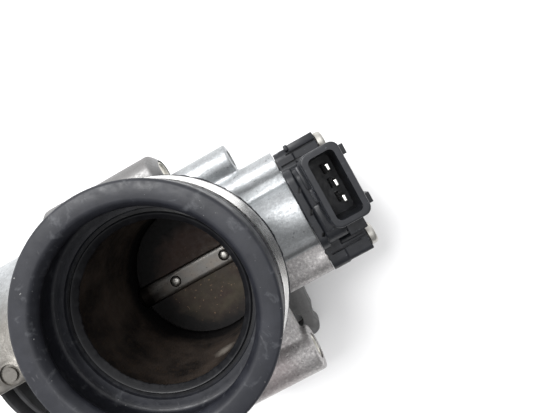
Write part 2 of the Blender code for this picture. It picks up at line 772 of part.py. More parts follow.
# ---------------------------------------------------------------- passages
def make_plugs():
    """Pressed plugs that close the ends of the three drilled passages."""
    for name, boss, radius, depth in (
        ("port_plug", PORT_BOSS, 0.0032, 0.0006),
        ("upper_passage_plug", UPPER_BOSS, 0.0042, 0.0004),
        ("lower_passage_plug", LOWER_BOSS, 0.0048, 0.0004),
    ):
        face = boss["end"] - depth
        outer = radius - GAP
        profile = [
            (0.0, face - 0.0008), (outer - 0.0010, face - 0.0007), (outer - 0.0006, face),
            (outer, face - 0.0003), (outer, face - 0.0032), (0.0, face - 0.0032),
        ]
        plug = turned(name, profile, "X", (boss["y"], 0.0), 24, False)
        settle(plug)
        bright_metal(plug)


def nipple_profile(root, tip):
    """Half section of a hose nipple from its pressed root to its beaded tip."""
    step = 1 if tip > root else -1
    bead = tip - step * 0.0035
    outline = [
        (NIPPLE_RADIUS, root), (NIPPLE_RADIUS, bead - step * 0.0012),
        (NIPPLE_RADIUS + 0.0007, bead), (NIPPLE_RADIUS - 0.0001, tip - step * 0.0012),
        (NIPPLE_RADIUS - 0.0006, tip), (NIPPLE_BORE, tip), (NIPPLE_BORE, root),
    ]
    return outline if step < 0 else outline[::-1]


def make_nipples():
    """Hose nipples of the heater passages."""
    x = UPPER_BOSS["start"] + 0.008
    upper = turned("upper_hose_nipple", nipple_profile(-0.0035, -0.0225), "Z",
                   (x, UPPER_BOSS["y"]), 24)
    lower = turned("lower_hose_nipple", nipple_profile(LOWER_BOSS["start"] + 0.005, -0.033), "X",
                   (LOWER_BOSS["y"], 0.0), 24)
    for nipple in (upper, lower):
        settle(nipple)
        bright_metal(nipple)


# ---------------------------------------------------------------- position sensor
def make_sensor_housing():
    """The sensor's plastic body with its two screw pillars and connector shroud."""
    front = SENSOR_FACE + GAP
    body_top = 0.0150
    body = plate_outline(
        "sensor_housing", rounded_box((-0.0138, -0.0145), (0.0150, body_top), 0.0045), "X",
        front, SENSOR_BACK - 0.0015, False,
    )
    base = plate_outline(
        "sensor_base", rounded_box((-0.0234, -0.0052), (0.0222, 0.0052), 0.0030), "X",
        front, front + 0.0062,
    )
    join(body, base)
    for name, low, high in (("upper", 0.0142, 0.0222), ("lower", -0.0229, -0.0140)):
        pillar = plate_outline(
            f"{name}_pillar", rounded_box((low, -0.0046), (high, 0.0046), 0.0016), "X",
            front + 0.002, SENSOR_BACK,
        )
        join(body, pillar)
    x, y = SHROUD_CENTRE
    half_x = SHROUD_SIZE[0] / 2
    half_y = SHROUD_SIZE[1] / 2
    shroud = plate_outline(
        "shroud", rounded_box((x - half_x, y - half_y), (x + half_x, y + half_y), 0.0024), "Z",
        body_top - 0.006, SHROUD_TOP,
    )
    toe = block("shroud_toe", (x - 0.002, -0.0125, 0.008), (SENSOR_BACK, -0.005, 0.0185))
    nub = block("latch_nub", (x - half_x - 0.0012, y - 0.002, 0.021),
                (x - half_x + 0.001, y + 0.002, 0.0295))
    shelf = block("raised_plate", (front + 0.0022, -0.003, body_top - 0.002),
                  (x - half_x + 0.001, 0.0125, body_top + 0.003))
    join(body, shroud, toe, nub, shelf)
    for i, low in enumerate((0.0104, -0.0055)):
        tab = block(f"guide_rib_{i}", (x + half_x - 0.001, low, 0.0150),
                    (x + half_x + 0.0021, low + 0.0032, 0.0258))
        join(body, tab)
    wall = SHROUD_WALL
    socket = plate_outline(
        "socket",
        rounded_box((x - half_x + wall, y - half_y + wall), (x + half_x - wall, y + half_y - wall),
                    0.0016),
        "Z", SOCKET_FLOOR, SHROUD_TOP + CUT,
    )
    cavity = rod("sensor_cavity", "X", front - CUT, 0.0530, SENSOR_CAVITY_RADIUS, (0, 0), 32)
    seal_groove = ring("sensor_groove", "X", front - CUT, front + 0.0018, 0.0100, 0.0122, (0, 0),
                       36, True)
    cut(body, socket, cavity, seal_groove)
    for i in (-1, 0, 1):
        pin_y = y + 0.0004 + i * PIN_PITCH
        slot = block(
            f"pin_slot_{i}",
            (PIN_X - PIN_SIZE[0] / 2 - GAP, pin_y - PIN_SIZE[1] / 2 - GAP, PIN_BOTTOM - GAP),
            (PIN_X + PIN_SIZE[0] / 2 + GAP, pin_y + PIN_SIZE[1] / 2 + GAP, SOCKET_FLOOR + CUT),
        )
        cut(body, slot)
    for side in (-1, 1):
        hole = rod(f"pillar_hole_{side}", "X", front - CUT, SENSOR_BACK + CUT,
                   SLEEVE_RADIUS + GAP, (side * SENSOR_SCREW_Y, 0), 20)
        cut(body, hole)
    settle(body)
    black_plastic(body)


def make_pins():
    """The connector's three flat pins."""
    y = SHROUD_CENTRE[1] + 0.0004
    for i in (-1, 0, 1):
        low = (PIN_X - PIN_SIZE[0] / 2, y + i * PIN_PITCH - PIN_SIZE[1] / 2, PIN_BOTTOM)
        high = (PIN_X + PIN_SIZE[0] / 2, y + i * PIN_PITCH + PIN_SIZE[1] / 2, PIN_TOP)
        bright_metal(block(f"terminal_pin_{i + 2}", low, high, False))


def make_sensor_fasteners():
    """The screws that hold the sensor, and the steel sleeves that they clamp."""
    head = SENSOR_BACK + GAP
    for name, side in (("lower", -1), ("upper", 1)):
        place = (side * SENSOR_SCREW_Y, 0.0)
        profile = [
            (0.0, head + SENSOR_HEAD_LENGTH), (SENSOR_HEAD_RADIUS - 0.0007,
                                               head + SENSOR_HEAD_LENGTH),
            (SENSOR_HEAD_RADIUS, head + SENSOR_HEAD_LENGTH - 0.0007), (SENSOR_HEAD_RADIUS, head),
            (SENSOR_SCREW_RADIUS, head), (SENSOR_SCREW_RADIUS, 0.0308), (0.0, 0.0303),
        ]
        screw = turned(f"{name}_sensor_screw", profile, "X", place, 24, False)
        socket = plate_outline(f"{name}_screw_socket", hexagon(place, 0.0034), "X",
                               head + SENSOR_HEAD_LENGTH - 0.0016,
                               head + SENSOR_HEAD_LENGTH + CUT)
        cut(screw, socket)
        settle(screw)
        steel(screw)
        sleeve = ring(f"{name}_screw_sleeve", "X", SENSOR_FACE + 2 * GAP, SENSOR_BACK,
                      SENSOR_SCREW_RADIUS + GAP, SLEEVE_RADIUS, place, 20)
        settle(sleeve)
        bright_metal(sleeve)


def make_sensor_inside():
    """What the sensor holds: face seal, rotor, wipers and resistor track board."""
    front = SENSOR_FACE + GAP
    seal = ring("sensor_seal", "X", front, front + 0.0015, 0.0103, 0.0119, (0, 0), 36)
    settle(seal)
    rubber(seal)
    rotor = turned(
        "sensor_rotor",
        [(0.0082, 0.0494), (0.0082, 0.0474), (0.0062, 0.0470), (0.0062, 0.0432),
         (SHAFT_RADIUS + GAP, 0.0432), (SHAFT_RADIUS + GAP, 0.0494)],
        "X", (0, 0), 28, parent=TURNING,
    )
    settle(rotor)
    black_plastic(rotor)
    for name, radius in (("inner", 0.0055), ("outer", 0.0073)):
        wiper = block(f"{name}_wiper", (0.0497, -0.0016, radius - 0.0005),
                      (0.0502, 0.0016, radius + 0.0005), False, TURNING)
        bronze(wiper)
    board = rod("resistor_board", "X", 0.0506, 0.0518, SENSOR_CAVITY_RADIUS - GAP, (0, 0), 32,
                False)
    settle(board)
    green_board(board)


make_housing()
make_flange_seal()
make_inlet_seal()
make_seal_band()
make_bushes()
make_shaft()
make_plate()
make_plate_screws()
make_quadrant()
make_lever_fasteners()
make_return_spring()
make_idle_stop()
make_plugs()
make_nipples()
make_sensor_housing()
make_pins()
make_sensor_fasteners()
make_sensor_inside()
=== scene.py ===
"""Looks of the throttle body: detailed pieces, materials, floor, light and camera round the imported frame."""
import json
import math

import bmesh
import bpy
from mathutils import Matrix, Vector, noise


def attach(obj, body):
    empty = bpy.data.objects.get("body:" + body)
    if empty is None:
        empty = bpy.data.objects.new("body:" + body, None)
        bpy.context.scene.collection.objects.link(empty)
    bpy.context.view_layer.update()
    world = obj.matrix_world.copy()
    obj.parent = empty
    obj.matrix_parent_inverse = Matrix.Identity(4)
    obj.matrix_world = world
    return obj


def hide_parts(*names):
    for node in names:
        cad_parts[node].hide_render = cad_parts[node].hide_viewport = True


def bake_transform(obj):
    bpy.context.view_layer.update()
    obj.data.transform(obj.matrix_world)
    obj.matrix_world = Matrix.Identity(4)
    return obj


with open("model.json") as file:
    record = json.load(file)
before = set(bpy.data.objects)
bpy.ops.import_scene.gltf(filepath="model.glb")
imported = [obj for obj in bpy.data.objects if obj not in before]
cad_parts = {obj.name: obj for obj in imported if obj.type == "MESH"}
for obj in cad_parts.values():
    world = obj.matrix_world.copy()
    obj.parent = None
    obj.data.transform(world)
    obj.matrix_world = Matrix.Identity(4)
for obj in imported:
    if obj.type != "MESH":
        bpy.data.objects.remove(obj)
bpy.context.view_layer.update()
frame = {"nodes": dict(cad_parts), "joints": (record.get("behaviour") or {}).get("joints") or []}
NODES = frame["nodes"]

# Pieces are shaped in millimetres about the crossing of bore and shaft: +X to the sensor, +Z to the inlet.
ORIGIN = Vector(frame["joints"][0]["pos_m"])
TO_ROW = Matrix.Translation(ORIGIN) @ Matrix.Diagonal((0.001, 0.001, 0.001, 1.0))
FIXED = "housing"
TURNING = "throttle"
TAU = math.tau

# Main sizes and places in millimetres.
BORE_RADIUS = 24.0
NECK_TOP = 43.0
FLANGE_FACE = -30.0
FLANGE_FOOT = FLANGE_FACE - 0.6
FLANGE_BACK = -21.0
FLANGE_RADIUS = 31.0
EAR_RADIUS = 8.0
BOLTS = [math.radians(a) for a in (15.5, 112.5, 195.5, 292.5)]
BOLT_CIRCLE = 44.0
SHAFT_RADIUS = 4.0
SHAFT_HOLE = 4.3
PLATE_RADIUS = 23.65
PLATE_HALF_THICKNESS = 0.8
PLATE_SCREW_X = 10
SCREW_HOLE = 2.05
SENSOR_FACE = 41.8
SENSOR_FRONT = 42.1
SENSOR_SCREW_Y = 18.3
PILLAR_TOP = 57.5
SHROUD = (53.65, 4.1)
SHROUD_HALF = (5.7, 11.25)
DRUM_BACK = -45.0
DRUM_FACE = -41.0
QUADRANT_RADIUS = 29.5
CABLE_RADIUS = 24
WINDOW_RADIUS = 17.5
SPRING_RADIUS = 9.0
SPRING_HOLE = 1.1
PORT_Y, UPPER_Y, LOWER_Y = 28.7, 36.5, -45.0
UPPER_OUTLET = (-32.0, UPPER_Y)
IDLE_STOP = (-53.2, 16.5)
ROUND_PAD = (-51.5, 1.8)


# ---------------------------------------------------------------- shape helpers
def add_mesh(name, mesh):
    item = bpy.data.objects.new(name, mesh)
    bpy.context.scene.collection.objects.link(item)
    return item


def from_bmesh(name, shape):
    bmesh.ops.recalc_face_normals(shape, faces=shape.faces)
    mesh = bpy.data.meshes.new(name)
    shape.to_mesh(mesh)
    shape.free()
    return add_mesh(name, mesh)


def at(axis, along, u, v):
    """Point at a distance along an axis, with u and v on the two other axes in order."""
    if axis == "X":
        return (along, u, v)
    if axis == "Y":
        return (u, along, v)
    return (u, v, along)


def lathe(name, profile, axis="Z", centre=(0.0, 0.0), segments=96, closed=False, wobble=None):
    """Surface of revolution of (radius, height) points; wobble shifts them by angle and row."""
    shape = bmesh.new()
    rows = []
    for row, (radius, height) in enumerate(profile):
        if radius < 1e-6:
            rows.append([shape.verts.new(at(axis, height, *centre))])
            continue
        line = []
        for i in range(segments):
            angle = TAU * i / segments
            r, h = radius, height
            if wobble:
                dr, dh = wobble(row, angle)
                r, h = r + dr, h + dh
            line.append(shape.verts.new(
                at(axis, h, centre[0] + r * math.cos(angle), centre[1] + r * math.sin(angle))))
        rows.append(line)
    pairs = list(zip(rows, rows[1:]))
    if closed:
        pairs.append((rows[-1], rows[0]))
    for a, b in pairs:
        for i in range(segments):
            j = (i + 1) % segments
            if len(a) == 1:
                shape.faces.new((a[0], b[i], b[j]))
            elif len(b) == 1:
                shape.faces.new((a[i], b[0], a[j]))
            else:
                shape.faces.new((a[i], b[i], b[j], a[j]))
    return from_bmesh(name, shape)


def rod(name, axis, start, end, radius, centre=(0.0, 0.0), segments=48, edge=0.0):
    low, high = min(start, end), max(start, end)
    if edge:
        profile = [(0, low), (radius - edge, low), (radius, low + edge), (radius, high - edge),
                   (radius - edge, high), (0, high)]
    else:
        profile = [(0, low), (radius, low), (radius, high), (0, high)]
    return lathe(name, profile, axis, centre, segments)


def tube(name, axis, start, end, inner, outer, centre=(0.0, 0.0), segments=64):
    profile = [(outer, start), (outer, end), (inner, end), (inner, start)]
    return lathe(name, profile, axis, centre, segments, True)


def block(name, low, high):
    shape = bmesh.new()
    bmesh.ops.create_cube(shape, size=1.0)
    middle = (Vector(low) + Vector(high)) / 2
    size = Vector(high) - Vector(low)
    for v in shape.verts:
        v.co = Vector((v.co.x * size.x, v.co.y * size.y, v.co.z * size.z)) + middle
    return from_bmesh(name, shape)


def prism(name, points, axis, low, high):
    """A flat outline carried along an axis."""
    shape = bmesh.new()
    bottom = [shape.verts.new(at(axis, low, u, v)) for u, v in points]
    top = [shape.verts.new(at(axis, high, u, v)) for u, v in points]
    shape.faces.new(bottom)
    shape.faces.new(top[::-1])
    for i in range(len(points)):
        j = (i + 1) % len(points)
        shape.faces.new((bottom[i], top[i], top[j], bottom[j]))
    return from_bmesh(name, shape)


def arc(centre, radius, start, end, steps):
    return [(centre[0] + radius * math.cos(start + (end - start) * i / steps),
             centre[1] + radius * math.sin(start + (end - start) * i / steps))
            for i in range(steps + 1)]


def rounded(low, high, radius, steps=5):
    """Outline of a rectangle with round corners."""
    points = []
    quarter = math.pi / 2
    for k, (x, y) in enumerate(((high[0], high[1]), (low[0], high[1]), (low[0], low[1]),
                                (high[0], low[1]))):
        cx = x - radius if k in (0, 3) else x + radius
        cy = y - radius if k in (0, 1) else y + radius
        points += arc((cx, cy), radius, k * quarter, (k + 1) * quarter, steps)
    return points


def polygon(centre, across, sides):
    reach = across / 2 / math.cos(math.pi / sides)
    return [(centre[0] + reach * math.cos(TAU * i / sides),
             centre[1] + reach * math.sin(TAU * i / sides)) for i in range(sides)]


def bake(item):
    """Gives an object its modified mesh and drops the modifiers."""
    bpy.context.view_layer.update()
    graph = bpy.context.evaluated_depsgraph_get()
    mesh = bpy.data.meshes.new_from_object(item.evaluated_get(graph))
    item.modifiers.clear()
    old = item.data
    item.data = mesh
    bpy.data.meshes.remove(old)
    return item


def modify(item, kind, **settings):
    modifier = item.modifiers.new(kind.lower(), kind)
    for key, value in settings.items():
        setattr(modifier, key, value)
    return bake(item)


def combine(target, operation, *tools):
    for tool in tools:
        modify(target, "BOOLEAN", operation=operation, object=tool, solver="MANIFOLD")
        bpy.data.objects.remove(tool)
    return target


def join(target, *tools):
    return combine(target, "UNION", *tools)


def cut(target, *tools):
    return combine(target, "DIFFERENCE", *tools)


def soften(item, voxel, rounds, ratio=1.0):
    """Melts a union of simple forms into one skin with fillets, as a mould leaves it."""
    modify(item, "REMESH", mode="VOXEL", voxel_size=voxel, adaptivity=0.0)
    if rounds:
        modify(item, "SMOOTH", factor=0.5, iterations=rounds)
    if ratio < 1:
        modify(item, "DECIMATE", ratio=ratio)
    return item


def bevel(item, width, segments=2):
    return modify(item, "BEVEL", width=width, segments=segments, limit_method="ANGLE",
                  angle_limit=math.radians(30))


def place(item, body, materials, nodes, sharp, pick=None):
    """Moves a finished piece into the row frame and gives it its body, slot, nodes and finish."""
    item.data.transform(TO_ROW)
    item.data.polygons.foreach_set("use_smooth", [True] * len(item.data.polygons))
    item.data.set_sharp_from_angle(angle=math.radians(sharp))
    item.data.materials.clear()
    for m in materials:
        item.data.materials.append(m)
    if pick:
        for face in item.data.polygons:
            middle = (face.center - ORIGIN) * 1000
            face.material_index = pick(middle, face.normal)
    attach(item, body)
    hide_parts(*nodes)


# ---------------------------------------------------------------- material helpers
class Finish:
    """A procedural material around one Principled shader, with textures measured in millimetres."""

    def __init__(self, name, color, roughness, metallic, specular=0.5):
        self.material = bpy.data.materials.new(name)
        self.material.use_nodes = True
        self.tree = self.material.node_tree
        self.shader = self.tree.nodes["Principled BSDF"]
        self.base = (*color, 1.0)
        self.set("Base Color", self.base)
        self.set("Roughness", roughness)
        self.set("Metallic", metallic)
        self.set("Specular IOR Level", specular)
        self.color = None
        self.height = None
        coords = self.tree.nodes.new("ShaderNodeTexCoord")
        scaled = self.tree.nodes.new("ShaderNodeVectorMath")
        scaled.operation = "SCALE"
        scaled.inputs["Scale"].default_value = 1000.0
        self.link(coords.outputs["Object"], scaled.inputs[0])
        self.position = scaled.outputs[0]

    def set(self, socket, value):
        self.shader.inputs[socket].default_value = value

    def link(self, a, b):
        self.tree.links.new(a, b)

    def stretch(self, factors):
        node = self.tree.nodes.new("ShaderNodeMapping")
        node.inputs["Scale"].default_value = factors
        self.link(self.position, node.inputs["Vector"])
        return node.outputs[0]

    def noise(self, scale, detail=4.0, rough=0.55, vector=None, distortion=0.0):
        node = self.tree.nodes.new("ShaderNodeTexNoise")
        node.inputs["Scale"].default_value = scale
        node.inputs["Detail"].default_value = detail
        node.inputs["Roughness"].default_value = rough
        node.inputs["Distortion"].default_value = distortion
        self.link(vector or self.position, node.inputs["Vector"])
        return node.outputs["Fac"]

    def cells(self, scale):
        node = self.tree.nodes.new("ShaderNodeTexVoronoi")
        node.inputs["Scale"].default_value = scale
        self.link(self.position, node.inputs["Vector"])
        return node.outputs["Distance"]

    def ramp(self, value, low, high, out_low=0.0, out_high=1.0):
        node = self.tree.nodes.new("ShaderNodeMapRange")
        node.inputs["From Min"].default_value = low
        node.inputs["From Max"].default_value = high
        node.inputs["To Min"].default_value = out_low
        node.inputs["To Max"].default_value = out_high
        self.link(value, node.inputs["Value"])
        return node.outputs["Result"]

    def math(self, operation, a, b):
        node = self.tree.nodes.new("ShaderNodeMath")
        node.operation = operation
        for socket, value in zip(node.inputs, (a, b)):
            if isinstance(value, (int, float)):
                socket.default_value = value
            else:
                self.link(value, socket)
        return node.outputs[0]

    def axis(self, name):
        node = self.tree.nodes.new("ShaderNodeSeparateXYZ")
        self.link(self.position, node.inputs[0])
        return node.outputs[name]

    def distance(self, point, axes):
        """Distance in millimetres from a point of the part's own frame, over the named axes."""
        total = None
        for name in axes:
            where = point["XYZ".index(name)] + ORIGIN["XYZ".index(name)] * 1000
            offset = self.math("SUBTRACT", self.axis(name), where)
            square = self.math("MULTIPLY", offset, offset)
            total = square if total is None else self.math("ADD", total, square)
        return self.math("SQRT", total, 0.0)

    def tint(self, mask, color):
        """Lays a colour over the base where the mask is 1."""
        node = self.tree.nodes.new("ShaderNodeMix")
        node.data_type = "RGBA"
        self.link(mask, node.inputs["Factor"])
        if self.color is None:
            node.inputs[6].default_value = self.base
        else:
            self.link(self.color, node.inputs[6])
        node.inputs[7].default_value = (*color, 1.0)
        self.color = node.outputs[2]
        self.link(self.color, self.shader.inputs["Base Color"])

    def gloss(self, value):
        self.link(value, self.shader.inputs["Roughness"])

    def bump(self, value, depth):
        """Adds a relief of about that depth in millimetres."""
        scaled = self.math("MULTIPLY", value, depth * 0.001)
        self.height = scaled if self.height is None else self.math("ADD", self.height, scaled)

    def done(self):
        if self.height is not None:
            node = self.tree.nodes.new("ShaderNodeBump")
            node.inputs["Distance"].default_value = 1.0
            self.link(self.height, node.inputs["Height"])
            self.link(node.outputs["Normal"], self.shader.inputs["Normal"])
        return self.material


# ---------------------------------------------------------------- finishes
def cast_finish(name, color, rough, pits, stain, grit, darker_areas):
    """Cast aluminium with grain, mottle, small pits, grey staining and listed darker areas, one of them
    painted shade.
    """
    f = Finish(name, color, rough, 1.0)
    cloud = f.noise(0.11, 3.0)
    f.tint(f.ramp(cloud, 0.42, 0.68, 0.0, stain), tuple(c * 0.62 for c in color))
    grain = f.noise(2.6, 5.0, 0.6)
    f.tint(f.ramp(grain, 0.50, 0.72, 0.0, 0.40), tuple(c * 0.55 for c in color))
    mottle = f.noise(0.95, 5.0, 0.72)
    f.tint(f.ramp(mottle, 0.50, 0.66, 0.0, 6.0 * grit), tuple(c * 0.50 for c in color))
    f.tint(f.ramp(mottle, 0.47, 0.36, 0.0, 5.0 * grit), tuple(min(1.0, c * 1.7) for c in color))
    f.bump(mottle, grit * 1.2)
    spots = f.noise(0.9, 2.0, 0.5)
    f.tint(f.ramp(spots, 0.66, 0.72, 0.0, pits), (0.10, 0.10, 0.10))
    # Darkens each listed area; the lower ear's is painted shade.
    for point, axes, inner, outer, strength, tone in darker_areas:
        ragged = f.math("ADD", f.distance(point, axes), f.math("MULTIPLY", f.noise(0.20, 4.0), 8.0))
        f.tint(f.ramp(ragged, outer + 4.0, inner + 4.0, 0.0, strength), tone)
    f.gloss(f.ramp(f.noise(1.4, 4.0), 0.3, 0.7, rough - 0.06, rough + 0.12))
    f.bump(grain, grit)
    f.bump(f.noise(0.55, 3.0), 0.10)
    f.bump(f.noise(0.16, 2.0), 0.22)
    f.bump(f.ramp(spots, 0.62, 0.72), -0.05 * pits)
    return f.done()


def machined_finish():
    """Cut aluminium with fine tool lines and a light stain."""
    f = Finish("machined_aluminium", (0.72, 0.72, 0.72), 0.30, 1.0)
    lines = f.noise(5.0, 2.0, 0.5, f.stretch((0.15, 0.15, 6.0)))
    f.tint(f.ramp(f.noise(0.25, 3.0), 0.45, 0.7, 0.0, 0.5), (0.45, 0.44, 0.42))
    f.gloss(f.ramp(lines, 0.3, 0.7, 0.24, 0.40))
    f.bump(lines, 0.006)
    return f.done()


def bore_finish():
    """Bore wall under a brown-black film of oil and soot, black by the plate from soot and painted shade, with
    a pale bare patch that is also a painted highlight.
    """
    f = Finish("bore_deposit", (0.085, 0.066, 0.054), 0.55, 0.35)
    f.tint(f.ramp(f.noise(0.10, 4.0), 0.40, 0.62), (0.020, 0.017, 0.016))
    f.tint(f.ramp(f.noise(0.8, 6.0, 0.65), 0.52, 0.74, 0.0, 0.8), (0.11, 0.075, 0.05))
    # Black band round the plate's level: soot, and painted shade deep in the bore.
    ragged = f.math("MULTIPLY", f.noise(0.35, 4.0), 5.0)
    level = f.math("ADD", f.distance((0, 0, 0.5), "Z"), ragged)
    f.tint(f.ramp(level, 13.0, 8.0), (0.006, 0.005, 0.005))
    # Pale patch high on the -Y wall: bare metal, and a painted highlight where the light strikes it.
    bare_patch_and_highlight = f.math("ADD", f.distance((1.2, -24.0, 23.7), "XYZ"), f.math("MULTIPLY", f.noise(1.2, 3.0), 3.0))
    f.tint(f.ramp(bare_patch_and_highlight, 5.4, 2.6, 0.0, 0.85), (0.42, 0.38, 0.33))
    f.gloss(f.ramp(f.noise(0.5, 4.0), 0.3, 0.7, 0.42, 0.72))
    f.bump(f.noise(1.8, 5.0), 0.03)
    return f.done()


def rubber_finish(name, color, scuffs, rough=0.42):
    """Moulded rubber with haze, scuffs and specks, black near the bore from soot and painted shade."""
    f = Finish(name, color, rough, 0.0, 0.40)
    haze = f.noise(0.16, 4.0, 0.6)
    f.tint(f.ramp(haze, 0.45, 0.75, 0.0, 0.35), tuple(c * 2.2 + 0.01 for c in color))
    patches = f.noise(0.22, 5.0, 0.65, distortion=0.6)
    f.tint(f.ramp(patches, 0.58, 0.74, 0.0, scuffs), (0.115, 0.12, 0.13))
    streaks = f.noise(1.1, 4.0, 0.6, f.stretch((1.0, 0.22, 1.0)))
    f.tint(f.ramp(streaks, 0.66, 0.76, 0.0, scuffs * 0.5), (0.20, 0.20, 0.21))
    specks = f.noise(1.35, 1.0, 0.4)
    f.tint(f.ramp(specks, 0.80, 0.82, 0.0, scuffs), (0.50, 0.50, 0.48))
    # Black near the bore's axis: soot on the lip, and painted shade where the lip faces away from the light.
    soot_and_shade = f.math("ADD", f.distance((0, 0, 0), "XY"), f.math("MULTIPLY", f.noise(0.9, 4.0), 1.6))
    f.tint(f.ramp(soot_and_shade, 25.6, 24.4, 0.0, 0.8), (0.004, 0.004, 0.0045))
    f.gloss(f.ramp(f.noise(0.5, 4.0), 0.3, 0.7, rough - 0.08, rough + 0.14))
    f.bump(f.noise(3.2, 4.0), 0.012)
    f.bump(patches, 0.04)
    return f.done()


def plain_metal(name, color, rough, stain, stain_color=(0.20, 0.17, 0.14)):
    """Bare small metal parts with a cloudy stain."""
    f = Finish(name, color, rough, 1.0)
    f.tint(f.ramp(f.noise(0.5, 4.0), 0.48, 0.72, 0.0, stain), stain_color)
    fine = f.noise(4.5, 3.0)
    f.gloss(f.ramp(fine, 0.3, 0.7, max(0.08, rough - 0.08), rough + 0.10))
    f.bump(fine, 0.008)
    return f.done()


def band_finish():
    """Bright rolled strip with fine lines along it."""
    f = Finish("band_metal", (0.86, 0.85, 0.83), 0.27, 1.0)
    f.tint(f.ramp(f.noise(0.35, 3.0), 0.50, 0.72, 0.0, 0.35), (0.48, 0.46, 0.44))
    lines = f.noise(7.0, 2.0, 0.5, f.stretch((0.12, 0.12, 3.0)))
    f.gloss(f.ramp(lines, 0.3, 0.7, 0.22, 0.38))
    f.bump(lines, 0.004)
    return f.done()


def shaft_finish():
    """Turned and milled steel with a brown film, small dark marks and ends darkened by soot and painted shade.
    """
    f = Finish("shaft_steel", (0.15, 0.145, 0.137), 0.42, 1.0)
    f.tint(f.ramp(f.noise(0.28, 4.0), 0.42, 0.66, 0.0, 0.75), (0.17, 0.15, 0.13))
    marks = f.noise(1.6, 3.0, 0.6)
    f.tint(f.ramp(marks, 0.64, 0.69, 0.0, 0.9), (0.03, 0.028, 0.026))
    # Darker towards both ends by the bore wall: soot, and painted shade where the bore shades the shaft.
    along = f.math("ADD", f.distance((0, 0, 0), "X"), f.math("MULTIPLY", f.noise(0.5, 3.0), 3.0))
    f.tint(f.ramp(along, 17.5, 22.5), (0.02, 0.017, 0.015))
    f.gloss(f.ramp(f.noise(2.4, 3.0), 0.3, 0.7, 0.28, 0.48))
    f.bump(f.noise(6.0, 2.0, 0.5, f.stretch((0.2, 3.0, 1.0))), 0.008)
    return f.done()


def plate_finish():
    """Brass plate under olive and brown varnish, with pale spots and a ragged black rim of soot and painted
    shade.
    """
    f = Finish("plate_varnish", (0.044, 0.036, 0.024), 0.62, 0.0, 0.25)
    f.tint(f.ramp(f.noise(0.13, 4.0), 0.40, 0.64), (0.034, 0.021, 0.018))
    f.tint(f.ramp(f.noise(0.45, 5.0, 0.6), 0.48, 0.72, 0.0, 0.7), (0.062, 0.048, 0.033))
    f.tint(f.ramp(f.noise(0.85, 2.0, 0.5), 0.675, 0.70, 0.0, 0.8), (0.19, 0.125, 0.075))
    f.tint(f.ramp(f.axis("Y"), 3.0, 10.0, 0.0, 0.75), (0.050, 0.027, 0.021))
    # Black towards the rim, off centre: soot, and painted shade cast by the ring and bore.
    edge = f.math("ADD", f.distance((2.5, -1.5, 0), "XY"), f.math("MULTIPLY", f.noise(0.17, 4.0), 11.0))
    f.tint(f.ramp(edge, 19.5, 26.0), (0.005, 0.0045, 0.0045))
    f.gloss(f.ramp(f.noise(0.7, 3.0), 0.3, 0.7, 0.40, 0.68))
    f.bump(f.noise(1.4, 5.0), 0.03)
    return f.done()


def plastic_finish(name, color, rough, marks):
    """Moulded black plastic with a fine grain, handling haze and pale scrapes."""
    f = Finish(name, color, rough, 0.0, 0.36)
    f.tint(f.ramp(f.noise(0.30, 4.0), 0.42, 0.70, 0.0, 0.45), tuple(c * 1.8 + 0.004 for c in color))
    scrapes = f.noise(1.5, 3.0, 0.6, f.stretch((0.5, 1.4, 1.0)))
    f.tint(f.ramp(scrapes, 0.67, 0.73, 0.0, marks), (0.13, 0.14, 0.155))
    f.gloss(f.ramp(f.noise(0.8, 4.0), 0.3, 0.7, rough - 0.08, rough + 0.14))
    f.bump(f.noise(5.5, 3.0), 0.010)
    return f.done()


def board_finish():
    """Green circuit board with dark tracks."""
    f = Finish("track_board", (0.03, 0.10, 0.055), 0.4, 0.0)
    rings = f.math("FRACT", f.math("MULTIPLY", f.cells(0.09), 3.0), 1.0)
    f.tint(f.ramp(rings, 0.4, 0.5, 0.0, 0.8), (0.02, 0.02, 0.02))
    f.bump(f.noise(3.0), 0.01)
    return f.done()


# Darker areas: centre in mm, axes it is measured over, inner and outer reach, strength, colour. The lower
# ear's is painted shade; the drum's and the upper boss's are a darker tone of the casting.
DARKER_AREAS = (
    # Painted shade: the lower ear lies in the shade of the sensor boss.
    ((20, -38, -26), "XYZ", 10, 20, 0.85, (0.15, 0.147, 0.144)),
    ((-56, 2, 33), "XYZ", 15, 30, 0.85, (0.15, 0.137, 0.118)),
    ((-20, 41, 2), "XYZ", 24, 34, 0.85, (0.19, 0.184, 0.18)),
)
CAST = cast_finish("cast_aluminium", (0.45, 0.465, 0.475), 0.48, 0.5, 0.5, 0.05, DARKER_AREAS)
CAST_ROUGH = cast_finish("cast_aluminium_rough", (0.46, 0.445, 0.44), 0.44, 0.5, 0.6, 0.11,
                         DARKER_AREAS + (((6, -45, 4), "XYZ", 4, 14, 0.45, (0.36, 0.29, 0.29)),))
MACHINED = machined_finish()
BORE = bore_finish()
RUBBER = rubber_finish("inlet_rubber", (0.0115, 0.0125, 0.0170), 0.5)
SEAL_RUBBER = rubber_finish("seal_rubber", (0.022, 0.022, 0.022), 0.1, 0.5)
BAND = band_finish()
SHAFT = shaft_finish()
PLATE = plate_finish()
SCREW = plain_metal("screw_steel", (0.50, 0.49, 0.46), 0.42, 0.55)
SLEEVE = plain_metal("sleeve_steel", (0.72, 0.71, 0.68), 0.30, 0.3)
SPRING = plain_metal("spring_steel", (0.42, 0.41, 0.40), 0.30, 0.3)
BUSH = plain_metal("bush_bronze", (0.55, 0.38, 0.20), 0.38, 0.4)
WIPER = plain_metal("wiper_bronze", (0.66, 0.46, 0.24), 0.28, 0.2)
PLUG = plain_metal("plug_metal", (0.66, 0.64, 0.58), 0.32, 0.4)
PIN = plain_metal("pin_tin", (0.90, 0.89, 0.86), 0.18, 0.25, (0.45, 0.43, 0.40))
PLASTIC = plastic_finish("sensor_plastic", (0.0095, 0.0105, 0.0135), 0.38, 0.7)
